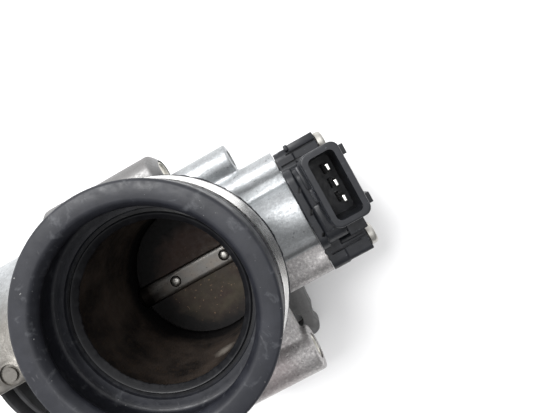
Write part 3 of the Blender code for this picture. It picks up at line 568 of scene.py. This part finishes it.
LEVER = plastic_finish("lever_plastic", (0.020, 0.020, 0.021), 0.45, 0.3)
BOARD = board_finish()


# ---------------------------------------------------------------- the casting
def bolt_centre(angle):
    return (BOLT_CIRCLE * math.cos(angle), BOLT_CIRCLE * math.sin(angle))


def flange_forms():
    """The flange with a margin below its face, its four bolt ears, their gussets and the lower lug."""
    forms = [rod("disc", "Z", FLANGE_FOOT, FLANGE_BACK, FLANGE_RADIUS, segments=96)]
    spread = math.acos((FLANGE_RADIUS - EAR_RADIUS) / BOLT_CIRCLE)
    for a in BOLTS:
        tip = arc(bolt_centre(a), EAR_RADIUS, a - spread, a + spread, 14)
        root = arc((0, 0), FLANGE_RADIUS, a + spread, a - spread, 2)
        forms.append(prism("ear", tip + [root[0], (0, 0), root[-1]], "Z", FLANGE_FOOT, FLANGE_BACK))
        rib = [(26.0, -24.0), (40.5, -24.0), (38.0, -19.0), (29.5, -10.0), (26.0, -6.0)]
        gusset = prism("gusset", rib, "Y", -1.3, 1.3)
        gusset.data.transform(Matrix.Rotation(a, 4, "Z"))
        forms.append(gusset)
    forms.append(prism("lower_arm", [(10, -22), (26.2, -24), (26.0, -38.2), (23.4, -41.4), (14, -42)],
                       "Z", FLANGE_FOOT, FLANGE_BACK))
    forms.append(rod("lower_lug", "Z", FLANGE_FOOT, FLANGE_BACK, 3.9, (21.5, -45.1), 48))
    return forms


def boss(name, start, end, radius, y, nose=0.0):
    """A passage boss along X; nose is how far its sensor-side end is rounded off."""
    profile = [(0, start), (radius - 0.9, start), (radius, start + 0.9), (radius, end - nose)]
    if nose:
        profile += [(radius * 0.94, end - nose * 0.80), (radius * 0.60, end - 0.35), (radius * 0.54, end)]
    profile.append((0, end))
    return lathe(name, profile, "X", (y, 0.0), 64)


def lever_forms():
    """Quarter drum round the cable quadrant, its hub, ribs and the idle stop's bracket."""
    low, high = math.radians(-2), math.radians(94)
    reach = 90.0
    middle = (low + high) / 2
    wedge = [(-2 * math.sin(middle), -2 * math.cos(middle))]
    wedge += [(reach * math.sin(a), reach * math.cos(a)) for a in (low, middle, high)]
    drum = lathe("drum", [(0, DRUM_FACE), (35.4, DRUM_FACE), (35.4, -66.0), (31.6, -66.0),
                          (31.6, DRUM_BACK), (0, DRUM_BACK)], "X", segments=128)
    combine(drum, "INTERSECT", prism("wedge", wedge, "X", -67.0, -40.0))
    return [
        drum,
        rod("lever_boss", "X", DRUM_BACK, -14.0, 12.0, segments=64),
        rod("lever_hub", "X", DRUM_BACK, DRUM_FACE, 16.0, segments=64),
        block("level_rib", (-43.0, -6.0, -3.2), (-20.0, 24.0, 3.2)),
        block("upright_rib", (-43.0, -2.6, 0.0), (-20.0, 2.6, 24.0)),
        block("bracket", (DRUM_BACK, 4.0, -23.0), (DRUM_FACE, 20.6, 0.0)),
        block("stop_boss", (-57.1, 12.4, -23.0), (DRUM_FACE, 20.6, -13.5)),
        rod("round_pad", "Z", 30.0, 35.9, 3.8, ROUND_PAD, 48, 0.3),
    ]


def casting_forms():
    """All raised forms of the casting, before they melt together."""
    barrel = [
        (0, NECK_TOP), (26.8, NECK_TOP), (26.8, 38.6), (25.9, 38.0), (25.9, 34.3), (29.2, 34.2),
        (29.4, 33.6), (29.4, 30.2), (28.0, 28.0), (28.0, -25.0), (0, -25.0),
    ]
    forms = [lathe("barrel", barrel, segments=128)]
    forms += flange_forms()
    inside, outside = 14.0, SENSOR_FACE + 0.7
    forms.append(rod("sensor_boss", "X", inside, outside, 12.6, segments=96))
    forms.append(block("sensor_web", (inside, -SENSOR_SCREW_Y, -4.6), (outside, SENSOR_SCREW_Y, 4.6)))
    for side in (-1, 1):
        forms.append(rod("lobe", "X", inside, outside, 5.4, (side * SENSOR_SCREW_Y, 0), 48))
    forms += [
        boss("port_boss", -4.0, 28.8, 5.5, PORT_Y),
        boss("upper_boss", -40.0, 6.0, 7.7, UPPER_Y, 3.2),
        boss("lower_boss", -14.0, 23.0, 8.2, LOWER_Y),
        boss("upper_collar", -39.6, -31.5, 8.4, UPPER_Y),
        block("port_web", (4.0, 16.0, -3.2), (26.5, PORT_Y, 3.2)),
        block("upper_web", (-36.0, 6.0, -5.0), (3.5, UPPER_Y, 5.0)),
        block("lower_web", (-12.0, LOWER_Y, -5.0), (20.3, -16.0, 5.0)),
        rod("nipple_foot", "Z", -8.5, -0.7, 7.0, UPPER_OUTLET, 48),
    ]
    return forms + lever_forms()


def machining():
    """Cutters for every machined face, hole and pocket."""
    far = 90.0
    tools = [
        rod("bore", "Z", -32, 45, BORE_RADIUS, segments=160),
        block("neck_face", (-far, -far, NECK_TOP), (far, far, 60.0)),
        block("flange_face", (-far, -far, -40.0), (far, far, FLANGE_FACE)),
        block("sensor_face", (SENSOR_FACE, -40.0, -20.0), (60.0, 40.0, 20.0)),
        rod("tunnel", "X", DRUM_BACK - 1, SENSOR_FACE + 1, SHAFT_HOLE),
        rod("lever_pocket", "X", DRUM_BACK - 1, DRUM_BACK + 12, 7.0),
        rod("sensor_pocket", "X", SENSOR_FACE - 12, SENSOR_FACE + 1, 7.0),
        tube("flange_groove", "Z", -31.0, -27.4, 25.5, 28.5, segments=128),
        rod("port_drilling", "X", 2.0, 29.8, 3.2, (PORT_Y, 0)),
        rod("upper_drilling", "X", -36.0, 7.0, 4.2, (UPPER_Y, 0)),
        rod("upper_outlet", "Z", -20.0, 1.3, 4.5, UPPER_OUTLET),
        rod("lower_drilling", "X", -15.0, 24.0, 4.8, (LOWER_Y, 0)),
        rod("vacuum_drilling", "Y", 20.0, PORT_Y, 1.2, (4.5, -2.4), 24),
        rod("stop_thread", "Z", -24.0, -12.0, 2.3, IDLE_STOP, 32),
        rod("spring_hole", "X", DRUM_BACK - 1, DRUM_BACK + 4.2, SPRING_HOLE, (0.0, SPRING_RADIUS), 24),
        tube("pad_ring", "Z", 35.25, 37.0, 2.1, 3.05, ROUND_PAD, 48),
    ]
    for a in BOLTS:
        tools.append(rod("bolt_hole", "Z", -32, -20, 3.3, bolt_centre(a), 40))
        tools.append(rod("spot_face", "Z", FLANGE_BACK - 0.25, -16, 7.0, bolt_centre(a), 48))
    for side in (-1, 1):
        tools.append(rod("thread", "X", 30.0, 43.0, 2.3, (side * SENSOR_SCREW_Y, 0), 32))
    return tools


def casting_zone(p, n):
    """Which finish a face has: 0 cast, 1 rough cast, 2 machined, 3 bore."""
    if abs(math.hypot(p.x, p.y) - BORE_RADIUS) < 0.08 and abs(n.z) < 0.2:
        return 3
    if abs(p.x - SENSOR_FACE) < 0.02 and n.x > 0.9:
        return 2
    if p.z < FLANGE_FACE + 0.1 and n.z < -0.9:
        return 2
    if p.z > NECK_TOP - 0.1 and n.z > 0.9:
        return 2
    lower_passage = p.y < -34 and p.z > -20
    drum_outside = p.x < -40 and n.x < -0.5
    below_sensor = p.y < -12.5 and p.x > 10 and p.z > -12
    if lower_passage or drum_outside or below_sensor:
        return 1
    return 0


def make_casting():
    first, *rest = casting_forms()
    join(first, *rest)
    soften(first, 0.55, 7, 0.55)
    cut(first, *machining())
    first.name = "throttle_casting"
    place(first, FIXED, [CAST, CAST_ROUGH, MACHINED, BORE], ["throttle_housing"],
          38, casting_zone)


# ---------------------------------------------------------------- rubber ring and band
# The ring's section as (radius, height) points, once round, in stretches by how uneven they are.
RING_SECTION = (
    ("plain", [
        (26.95, 55.60), (30.40, 55.60), (30.95, 55.45), (31.25, 55.05), (31.28, 54.40), (31.22, 49.50),
        (31.05, 49.30), (31.05, 48.95), (31.22, 48.75), (31.20, 47.00), (30.95, 46.45), (30.40, 46.15),
        (30.30, 45.40), (30.90, 35.30)]),
    ("flash", [(32.30, 35.12), (32.50, 34.75), (32.00, 34.50)]),
    ("plain", [(27.10, 34.50), (27.10, 43.30), (23.60, 43.30), (23.40, 42.80)]),
    ("inner lip", [(21.55, 42.75), (21.30, 43.05), (21.42, 43.40)]),
    ("plain", [
        (22.30, 44.05), (22.48, 44.42), (22.78, 44.58), (23.10, 44.45), (23.28, 44.05), (24.20, 44.05),
        (24.40, 44.75), (25.60, 44.95), (26.60, 45.10), (27.10, 45.35), (27.35, 45.90), (27.38, 46.60),
        (27.30, 50.00)]),
    ("mouth", [
        (26.60, 51.00), (25.45, 52.10), (25.02, 52.80), (25.05, 53.30), (25.35, 53.90), (25.95, 54.95),
        (26.45, 55.45)]),
)
RING_ROWS = [point for _, points in RING_SECTION for point in points]
RING_EDGES = [edge for edge, points in RING_SECTION for _ in points]


def ring_wobble(row, angle):
    """Hand-trimmed unevenness of a moulded ring, largest at its edges."""
    here = Vector((math.cos(angle) * 3.0, math.sin(angle) * 3.0, row * 0.35))
    fine = noise.noise(here * 4.0)
    edge = RING_EDGES[row]
    if edge == "flash":
        return 0.16 * fine + 0.16 * noise.noise(here * 13.0), 0.12 * noise.noise(here * 9.0)
    if edge == "mouth":
        return 0.05 * noise.noise(here) + 0.025 * fine, 0.02 * fine
    if edge == "inner lip":
        crust = noise.noise(here * 16.0)
        return 0.05 * fine + 0.13 * crust, 0.05 * crust
    return 0.0, 0.0


def make_ring():
    ring = lathe("inlet_ring", RING_ROWS, segments=360, closed=True, wobble=ring_wobble)
    place(ring, FIXED, [RUBBER], ["inlet_seal"], 50)


def make_band():
    """Thin metal strip round the ring's lower wall, wider towards its foot."""
    section = [
        (31.35, 45.0), (31.42, 44.6), (31.70, 42.0), (32.05, 38.6), (32.20, 37.6), (32.20, 35.6),
        (32.05, 35.4), (31.60, 35.4), (31.60, 37.6), (31.10, 42.0), (30.82, 44.9),
    ]
    band = lathe("inlet_band", section, segments=192, closed=True)
    place(band, FIXED, [BAND], ["seal_band"], 40)


# ---------------------------------------------------------------- valve
def screw_holes(reach):
    return [rod("hole", "Z", -reach, reach, SCREW_HOLE, (side * PLATE_SCREW_X, 0), 32) for side in (-1, 1)]


def make_valve():
    shaft = rod("valve_shaft", "X", -71.0, 49.0, SHAFT_RADIUS, segments=64, edge=0.5)
    cut(shaft, block("slot", (-23.95, -6, -1.1), (23.95, 6, 1.1)),
        block("top", (-23.7, -6, 2.2), (23.7, 6, 6)),
        block("low", (-23.7, -6, -6), (23.7, 6, -2.2)), *screw_holes(6))
    bevel(shaft, 0.12, 1)
    place(shaft, TURNING, [SHAFT], ["throttle_shaft"], 30)
    rim, half = PLATE_RADIUS - 0.2, PLATE_HALF_THICKNESS
    plate = lathe("valve_plate", [(0, half), (rim, half), (PLATE_RADIUS, 0.6), (PLATE_RADIUS, -0.6),
                                  (rim, -half), (0, -half)], segments=160)
    cut(plate, *screw_holes(3))
    place(plate, TURNING, [PLATE], ["throttle_plate"], 30)
    for side, name in ((-1, "lever_side"), (1, "sensor_side")):
        profile = [
            (0, 2.62), (0.55, 2.60), (1.05, 2.50), (1.45, 2.28), (1.72, 1.95), (1.75, 1.70),
            (1.75, -2.5), (3.0, -2.5), (3.0, -3.4), (2.7, -3.9), (1.9, -4.3), (0, -4.5),
        ]
        x = side * PLATE_SCREW_X
        screw = lathe(f"plate_screw_piece_{name}", profile, "Z", (x, 0), 40)
        cut(screw, block("slot", (x - 4, -0.45, -5), (x + 4, 0.45, -3.6)))
        place(screw, TURNING, [SCREW], [f"plate_screw_{name}"], 34)


# ---------------------------------------------------------------- passage ends
def make_plugs():
    for name, y, end, radius in (("port_plug", PORT_Y, 28.2, 2.9),
                                 ("upper_passage_plug", UPPER_Y, 5.6, 3.9),
                                 ("lower_passage_plug", LOWER_Y, 22.6, 4.5)):
        profile = [
            (0, end - 0.75), (radius * 0.5, end - 0.80), (radius - 1.0, end - 0.70),
            (radius - 0.7, end - 0.15), (radius - 0.45, end), (radius - 0.1, end - 0.1),
            (radius, end - 0.4), (radius, end - 3.2), (0, end - 3.2),
        ]
        plug = lathe(f"{name}_cup", profile, "X", (y, 0), 64)
        place(plug, FIXED, [PLUG], [name], 40)


def make_nipples():
    for name, root, tip, axis, centre in (
            ("upper_hose_nipple", -3.5, -22.5, "Z", UPPER_OUTLET),
            ("lower_hose_nipple", -9.0, -33.0, "X", (LOWER_Y, 0.0))):
        back = tip + 3.5
        profile = [
            (4.2, root), (4.2, root - 5.6), (4.45, root - 5.8), (4.45, root - 6.6), (4.2, root - 6.8),
            (4.2, back + 1.4), (4.5, back + 0.8), (4.85, back + 0.1), (4.9, back - 0.3),
            (4.7, back - 1.0), (4.1, tip + 1.2), (3.75, tip + 0.15), (3.5, tip), (3.0, tip),
            (2.8, tip + 0.2), (2.8, root),
        ]
        nipple = lathe(f"{name}_tube", profile, axis, centre, 72, True)
        place(nipple, FIXED, [PLUG], [name], 40)


# ---------------------------------------------------------------- lever side
def about_shaft(radius, degrees):
    """Where a feature sits across the shaft, by its radius and its angle from the inlet's way."""
    angle = math.radians(degrees)
    return (radius * math.sin(angle), radius * math.cos(angle))


def make_quadrant():
    """Cable quadrant with its rim groove, hub, return arm, blind cable seat, windows and pockets."""
    rim, groove = QUADRANT_RADIUS, QUADRANT_RADIUS - 3.0
    quadrant = lathe("lever_quadrant", [
        (0, -57.5), (29.2, -57.5), (rim, -57.8), (rim, -58.8), (29.1, -59.2), (26.7, -60.0),
        (groove, -60.5), (26.7, -61.0), (29.1, -61.8), (rim, -62.2), (rim, -63.2), (29.2, -63.5),
        (0, -63.5)], "X", segments=144)
    low, high = math.radians(-200), math.radians(-4)
    wedge = [(0.0, 0.0)] + [(45 * math.sin(low + (high - low) * i / 8),
                             45 * math.cos(low + (high - low) * i / 8)) for i in range(9)]
    combine(quadrant, "INTERSECT", prism("wedge", wedge, "X", -64.5, -56.5))
    join(quadrant, rod("hub", "X", -64.0, -52.4, 9.2, segments=64, edge=0.3),
         rod("collar", "X", -55.6, -52.4, 12.5, segments=64, edge=0.3),
         block("arm", (-55.6, 4.0, -9.2), (-52.4, 20.0, -4.2)))
    tools = [rod("cable_seat", "X", -64.5, -61.7, 3.6, about_shaft(CABLE_RADIUS, -18), 40),
             rod("bore", "X", -65, -51, SHAFT_HOLE, segments=48),
             rod("spring_hole", "X", -54.8, -51, SPRING_HOLE, (0.0, SPRING_RADIUS), 24)]
    for angle in (-75, -115, -155):
        tools.append(rod("window", "X", -65, -56, 4.4, about_shaft(WINDOW_RADIUS, angle), 48))
        pocket = block("pocket", (-64, -1, -1), (-62.9, 1, 1))
        pocket.data.transform(Matrix.Translation((0, *about_shaft(WINDOW_RADIUS, angle - 20))))
        tools.append(pocket)
    cut(quadrant, *tools)
    bevel(quadrant, 0.25, 2)
    place(quadrant, TURNING, [LEVER], ["cable_quadrant"], 34)


def make_lever_fixings():
    washer = lathe("lever_washer_ring", [(SHAFT_HOLE, -65.5), (8.6, -65.5), (8.8, -65.3), (8.8, -64.5),
                                         (8.6, -64.3), (SHAFT_HOLE, -64.3)], "X", segments=72, closed=True)
    place(washer, TURNING, [SCREW], ["lever_washer"], 30)
    nut = prism("lever_nut_hex", polygon((0, 0), 13.0, 6), "X", -70.4, -65.8)
    combine(nut, "INTERSECT", lathe("crown", [(0, -70.4), (6.4, -70.4), (7.6, -69.7), (7.6, -66.4),
                                              (6.6, -65.8), (0, -65.8)], "X", segments=72))
    cut(nut, rod("hole", "X", -72, -64, SHAFT_HOLE, segments=48))
    place(nut, TURNING, [SCREW], ["lever_nut"], 25)


def make_spring():
    """Three-turn torsion coil with straight ends hooked into the casting and the quadrant."""
    radius, wire = SPRING_RADIUS, 0.8
    start, end = -52.0 + wire, -45.4 - wire
    turns, steps, sides = 3, 40, 14
    path = [Vector((-54.2, 0, radius)), Vector((start - 0.5, 0, radius))]
    for i in range(turns * steps + 1):
        a = TAU * i / steps
        path.append(Vector((start + (end - start) * i / (turns * steps),
                            radius * math.sin(a), radius * math.cos(a))))
    path += [Vector((end + 0.5, 0, radius)), Vector((-41.4, 0, radius))]
    shape = bmesh.new()
    rows = []
    for i, p in enumerate(path):
        ahead = (path[min(i + 1, len(path) - 1)] - path[max(i - 1, 0)]).normalized()
        out = Vector((0, p.y, p.z)).normalized()
        side = ahead.cross(out).normalized()
        out = side.cross(ahead).normalized()
        rows.append([shape.verts.new(p + wire * (math.cos(TAU * k / sides) * out
                                                 + math.sin(TAU * k / sides) * side))
                     for k in range(sides)])
    for a, b in zip(rows, rows[1:]):
        for k in range(sides):
            m = (k + 1) % sides
            shape.faces.new((a[k], b[k], b[m], a[m]))
    shape.faces.new(rows[0][::-1])
    shape.faces.new(rows[-1])
    coil = from_bmesh("return_coil", shape)
    coil.data.transform(TO_ROW)
    coil.data.polygons.foreach_set("use_smooth", [True] * len(coil.data.polygons))
    coil.data.materials.append(SPRING)
    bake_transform(coil)
    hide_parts("return_spring")


def make_idle_stop():
    """Slotted stop screw with a thread of rings and its hexagon locknut."""
    x, y = IDLE_STOP
    rows = [(0, -9.5), (1.2, -9.5), (1.75, -10.1)]
    pitch = 0.7
    z = -10.2
    while z > -27.6:
        rows += [(1.98, z - pitch * 0.3), (1.72, z - pitch)]
        z -= pitch
    rows += [(1.9, -28.1), (1.7, -28.4), (0, -28.4)]
    screw = lathe("idle_stop_bolt", rows, "Z", IDLE_STOP, 40)
    cut(screw, block("slot", (x - 3, y - 0.4, -29), (x + 3, y + 0.4, -27.4)))
    place(screw, FIXED, [SCREW], ["idle_stop_screw"], 60)
    nut = prism("idle_stop_hex", polygon(IDLE_STOP, 7.0, 6), "Z", -26.3, -23.3)
    combine(nut, "INTERSECT", lathe("crown", [(0, -26.3), (3.5, -26.3), (4.1, -25.9), (4.1, -23.7),
                                              (3.5, -23.3), (0, -23.3)], "Z", IDLE_STOP, 48))
    cut(nut, rod("hole", "Z", -27, -22, 2.3, IDLE_STOP, 32))
    place(nut, FIXED, [SCREW], ["idle_stop_locknut"], 25)


# ---------------------------------------------------------------- position sensor
# Crisp blocks raised from the sensor's soft body: low corner, high corner, width of the edge.
SENSOR_DETAILS = (
    ((47.6, 20.0, -3.4), (57.4, 22.6, 5.6), 0.35),
    ((46.5, 20.9, 3.2), (47.9, 22.9, 6.3), 0.3),
    ((44.4, 14.6, 3.0), (56.8, 15.7, 5.3), 0.25),
    ((46.5, 6.1, 12.5), (48.2, 14.2, 16.0), 0.25),
    ((46.8, 1.6, 12.5), (49.4, 5.9, 18.3), 0.35),
    ((45.6, -8.8, 11.0), (48.6, 0.6, 15.3), 0.3),
    ((44.3, -17.2, 3.0), (56.9, -16.0, 5.2), 0.25),
)


def pin_place(i):
    """Where blade -1, 0 or 1 of the socket stands along Y."""
    return SHROUD[1] + 0.4 + i * 5.0


def shroud_outline(margin, corner):
    """Rounded outline round the socket, wider than its wall by a margin."""
    x, y = SHROUD
    half_x, half_y = SHROUD_HALF[0] + margin, SHROUD_HALF[1] + margin
    return rounded((x - half_x, y - half_y), (x + half_x, y + half_y), corner, 8)


def make_sensor():
    """Position sensor's housing: a soft-moulded body, crisp raised details, then its sockets and slots."""
    front = SENSOR_FRONT
    body = prism("position_sensor", rounded((-14.0, -14.8), (15.2, 15.0), 4.8, 10), "X", front, 44.9)
    x, y = SHROUD
    join(
        body,
        prism("core", rounded((-13.0, -14.0), (14.2, 14.3), 4.2, 10), "X", front, 56.0),
        prism("base", rounded((-23.4, -5.2), (22.2, 5.2), 3.0), "X", front, front + 6.2),
        prism("upper_pillar", rounded((14.2, -4.6), (22.2, 4.6), 1.6), "X", front + 2, PILLAR_TOP),
        prism("lower_pillar", rounded((-22.9, -4.6), (-14.0, 4.6), 1.6), "X", front + 2, PILLAR_TOP),
        prism("shroud", shroud_outline(0.0, 2.4), "Z", 9.0, 31.0),
        block("toe", (x - 2.0, -12.5, 8.0), (PILLAR_TOP, -5.0, 18.5)),
        block("nub", (x - 6.9, y - 2.0, 21.0), (x - 4.7, y + 2.0, 29.5)),
        prism("shroud_foot", rounded((x - 6.3, y - 11.9), (x + 6.1, y + 11.9), 2.6, 8), "Z", 9.0, 20.5),
        prism("shroud_lip", shroud_outline(0.2, 2.5), "Z", 29.4, 30.6),
    )
    for low in (10.4, -5.5):
        join(body, block("guide", (x + 4.7, low, 15.0), (x + 7.8, low + 3.2, 25.8)))
    soften(body, 0.26, 2, 0.45)
    for low, high, edge in SENSOR_DETAILS:
        detail = block("detail", low, high)
        bevel(detail, edge, 2)
        join(body, detail)
    tools = [
        prism("socket", rounded((x - 4.0, y - 9.55), (x + 4.0, y + 9.55), 1.6, 6), "Z", 13.0, 33.0),
        rod("cavity", "X", front - 1, 53.0, 9.2, segments=64),
        tube("groove", "X", front - 1, front + 1.8, 10.0, 12.2),
        block("front_face", (30, -40, -40), (front, 40, 40)),
        block("ear_groove", (46.0, 19.4, 4.1), (58.0, 20.1, 8.0)),
        block("ear_slot", (front + 0.9, 16.4, 4.0), (50.5, 17.2, 8.0)),
        block("low_ear_slot", (front + 1.6, -17.9, 3.9), (55.0, -17.2, 8.0)),
    ]
    for low, wide, top in ((6.4, 1.9, 14.6), (-1.6, 1.9, 14.3), (-9.4, 1.4, 13.0)):
        notch = block("notch", (-0.5, 0.0, -1.2), (0.5, wide, 3.0))
        notch.data.transform(Matrix.Translation((44.0, low, top)) @ Matrix.Rotation(-0.45, 4, "Z"))
        tools.append(notch)
    for i in (-1, 0, 1):
        pin_y = pin_place(i)
        tools.append(block("pin_slot", (53.7, pin_y - 1.7, 9.5), (55.1, pin_y + 1.7, 14.0)))
    for side in (-1, 1):
        tools.append(rod("pillar_hole", "X", 41, 59, 3.6, (side * SENSOR_SCREW_Y, 0), 48))
    cut(body, *tools)
    place(body, FIXED, [PLASTIC], ["sensor_housing"], 40)


def make_pins():
    for i in (-1, 0, 1):
        y = pin_place(i)
        outline = [(y - 1.4, 9.8), (y + 1.4, 9.8), (y + 1.4, 27.2), (y + 0.9, 28.3), (y - 0.9, 28.3),
                   (y - 1.4, 27.2)]
        pin = prism(f"blade_{i + 2}", outline, "X", 54.0, 54.8)
        bevel(pin, 0.12, 2)
        place(pin, FIXED, [PIN], [f"terminal_pin_{i + 2}"], 34)


def make_sensor_screws():
    head = PILLAR_TOP + 0.3
    for name, side in (("lower", -1), ("upper", 1)):
        centre = (side * SENSOR_SCREW_Y, 0.0)
        profile = [
            (0, head + 2.6), (3.0, head + 2.6), (3.5, head + 2.42), (3.8, head + 2.0), (3.9, head + 1.5),
            (3.9, head + 0.15), (3.75, head), (2.0, head), (2.0, 31.0), (1.5, 30.4), (0, 30.3),
        ]
        screw = lathe(f"sensor_screw_{name}", profile, "X", centre, 56)
        cut(screw, prism("socket", polygon(centre, 3.4, 6), "X", head + 1.0, head + 3.5))
        place(screw, FIXED, [SCREW], [f"{name}_sensor_screw"], 34)


# ---------------------------------------------------------------- carried-over nodes
def dress_nodes():
    for material, names in (
            (SEAL_RUBBER, ("flange_seal", "lever_side_seal", "sensor_side_seal", "sensor_seal")),
            (BUSH, ("lever_side_bush", "sensor_side_bush")),
            (PLASTIC, ("sensor_rotor",)),
            (SLEEVE, ("upper_screw_sleeve", "lower_screw_sleeve")),
            (WIPER, ("inner_wiper", "outer_wiper")),
            (BOARD, ("resistor_board",))):
        for name in names:
            mesh = NODES[name].data
            mesh.materials.clear()
            mesh.materials.append(material)


# ---------------------------------------------------------------- stage, light and camera
def make_stage():
    """A wide sheet of pale paper just under the part."""
    reach, gap = 1.5, 0.0001
    mesh = bpy.data.meshes.new("floor")
    mesh.from_pydata([(-reach, -reach, 0), (reach, -reach, 0), (reach, reach, 0), (-reach, reach, 0)],
                     [], [(0, 1, 2, 3)])
    floor = add_mesh("floor", mesh)
    floor.location.z = -gap
    pale = Finish("floor_paper", (0.93, 0.93, 0.93), 0.75, 0.0, 0.2)
    pale.bump(pale.noise(0.5, 2.0), 0.01)
    mesh.materials.append(pale.done())


LIGHT_TARGET = Vector((0.01, 0.0, 0.04))
LIGHT_DISTANCE = 0.9
BRIGHT_SIDE = (-0.25, 0.75, 0.62)


def area_light(name, way, size, power):
    """A soft round light that looks at the object from a direction in the row frame."""
    data = bpy.data.lights.new(name, "AREA")
    data.shape = "DISK"
    data.size = size
    data.energy = power
    lamp = bpy.data.objects.new(name, data)
    bpy.context.scene.collection.objects.link(lamp)
    lamp.location = LIGHT_TARGET + Vector(way).normalized() * LIGHT_DISTANCE
    lamp.rotation_euler = (lamp.location - LIGHT_TARGET).to_track_quat("Z", "Y").to_euler()


def make_light():
    """A world that is brightest on one side, and two lights above."""
    world = bpy.data.worlds.new("studio")
    world.use_nodes = True
    nodes, links = world.node_tree.nodes, world.node_tree.links
    background = nodes["Background"]
    coords = nodes.new("ShaderNodeTexCoord")
    side = nodes.new("ShaderNodeVectorMath")
    side.operation = "DOT_PRODUCT"
    side.inputs[1].default_value = Vector(BRIGHT_SIDE).normalized()
    links.new(coords.outputs["Generated"], side.inputs[0])
    ramp = nodes.new("ShaderNodeValToRGB")
    ramp.color_ramp.interpolation = "EASE"
    for element, (where, level) in zip(ramp.color_ramp.elements, ((0.30, 0.22), (0.92, 1.0))):
        element.position = where
        element.color = (level, level, level * 1.01, 1.0)
    half = nodes.new("ShaderNodeMapRange")
    half.inputs["From Min"].default_value = -1.0
    links.new(side.outputs["Value"], half.inputs["Value"])
    links.new(half.outputs["Result"], ramp.inputs["Fac"])
    links.new(ramp.outputs["Color"], background.inputs["Color"])
    background.inputs["Strength"].default_value = 1.22
    bpy.context.scene.world = world
    area_light("key", (-0.215, 0.46, 0.854), 0.38, 7.6)
    area_light("front", (0.12, 0.05, 1.0), 0.8, 1.0)
    bpy.context.scene.view_settings.view_transform = "Standard"


LENS = 25.67
CAMERA_RIGHT = Vector((0.8727, -0.4861, -0.0455))
CAMERA_BACK = Vector((0.0670, 0.0269, 0.9974))
CAMERA_SPOT = Vector((0.04349, 0.00992, 0.1394))


def make_camera():
    """A camera that looks down into the inlet as the photo's does, its place measured from ORIGIN."""
    data = bpy.data.cameras.new("camera")
    data.sensor_width = 36.0
    data.lens = LENS
    data.clip_start = 0.005
    camera = bpy.data.objects.new("camera", data)
    bpy.context.scene.collection.objects.link(camera)
    back = CAMERA_BACK.normalized()
    up = back.cross(CAMERA_RIGHT).normalized()
    right = up.cross(back)
    turned = Matrix((right, up, back)).transposed().to_4x4()
    camera.matrix_world = Matrix.Translation(ORIGIN + CAMERA_SPOT) @ turned
    bpy.context.scene.camera = camera


make_casting()
make_ring()
make_band()
make_valve()
make_plugs()
make_nipples()
make_quadrant()
make_lever_fixings()
make_spring()
make_idle_stop()
make_sensor()
make_pins()
make_sensor_screws()
dress_nodes()
make_stage()
make_light()
make_camera()
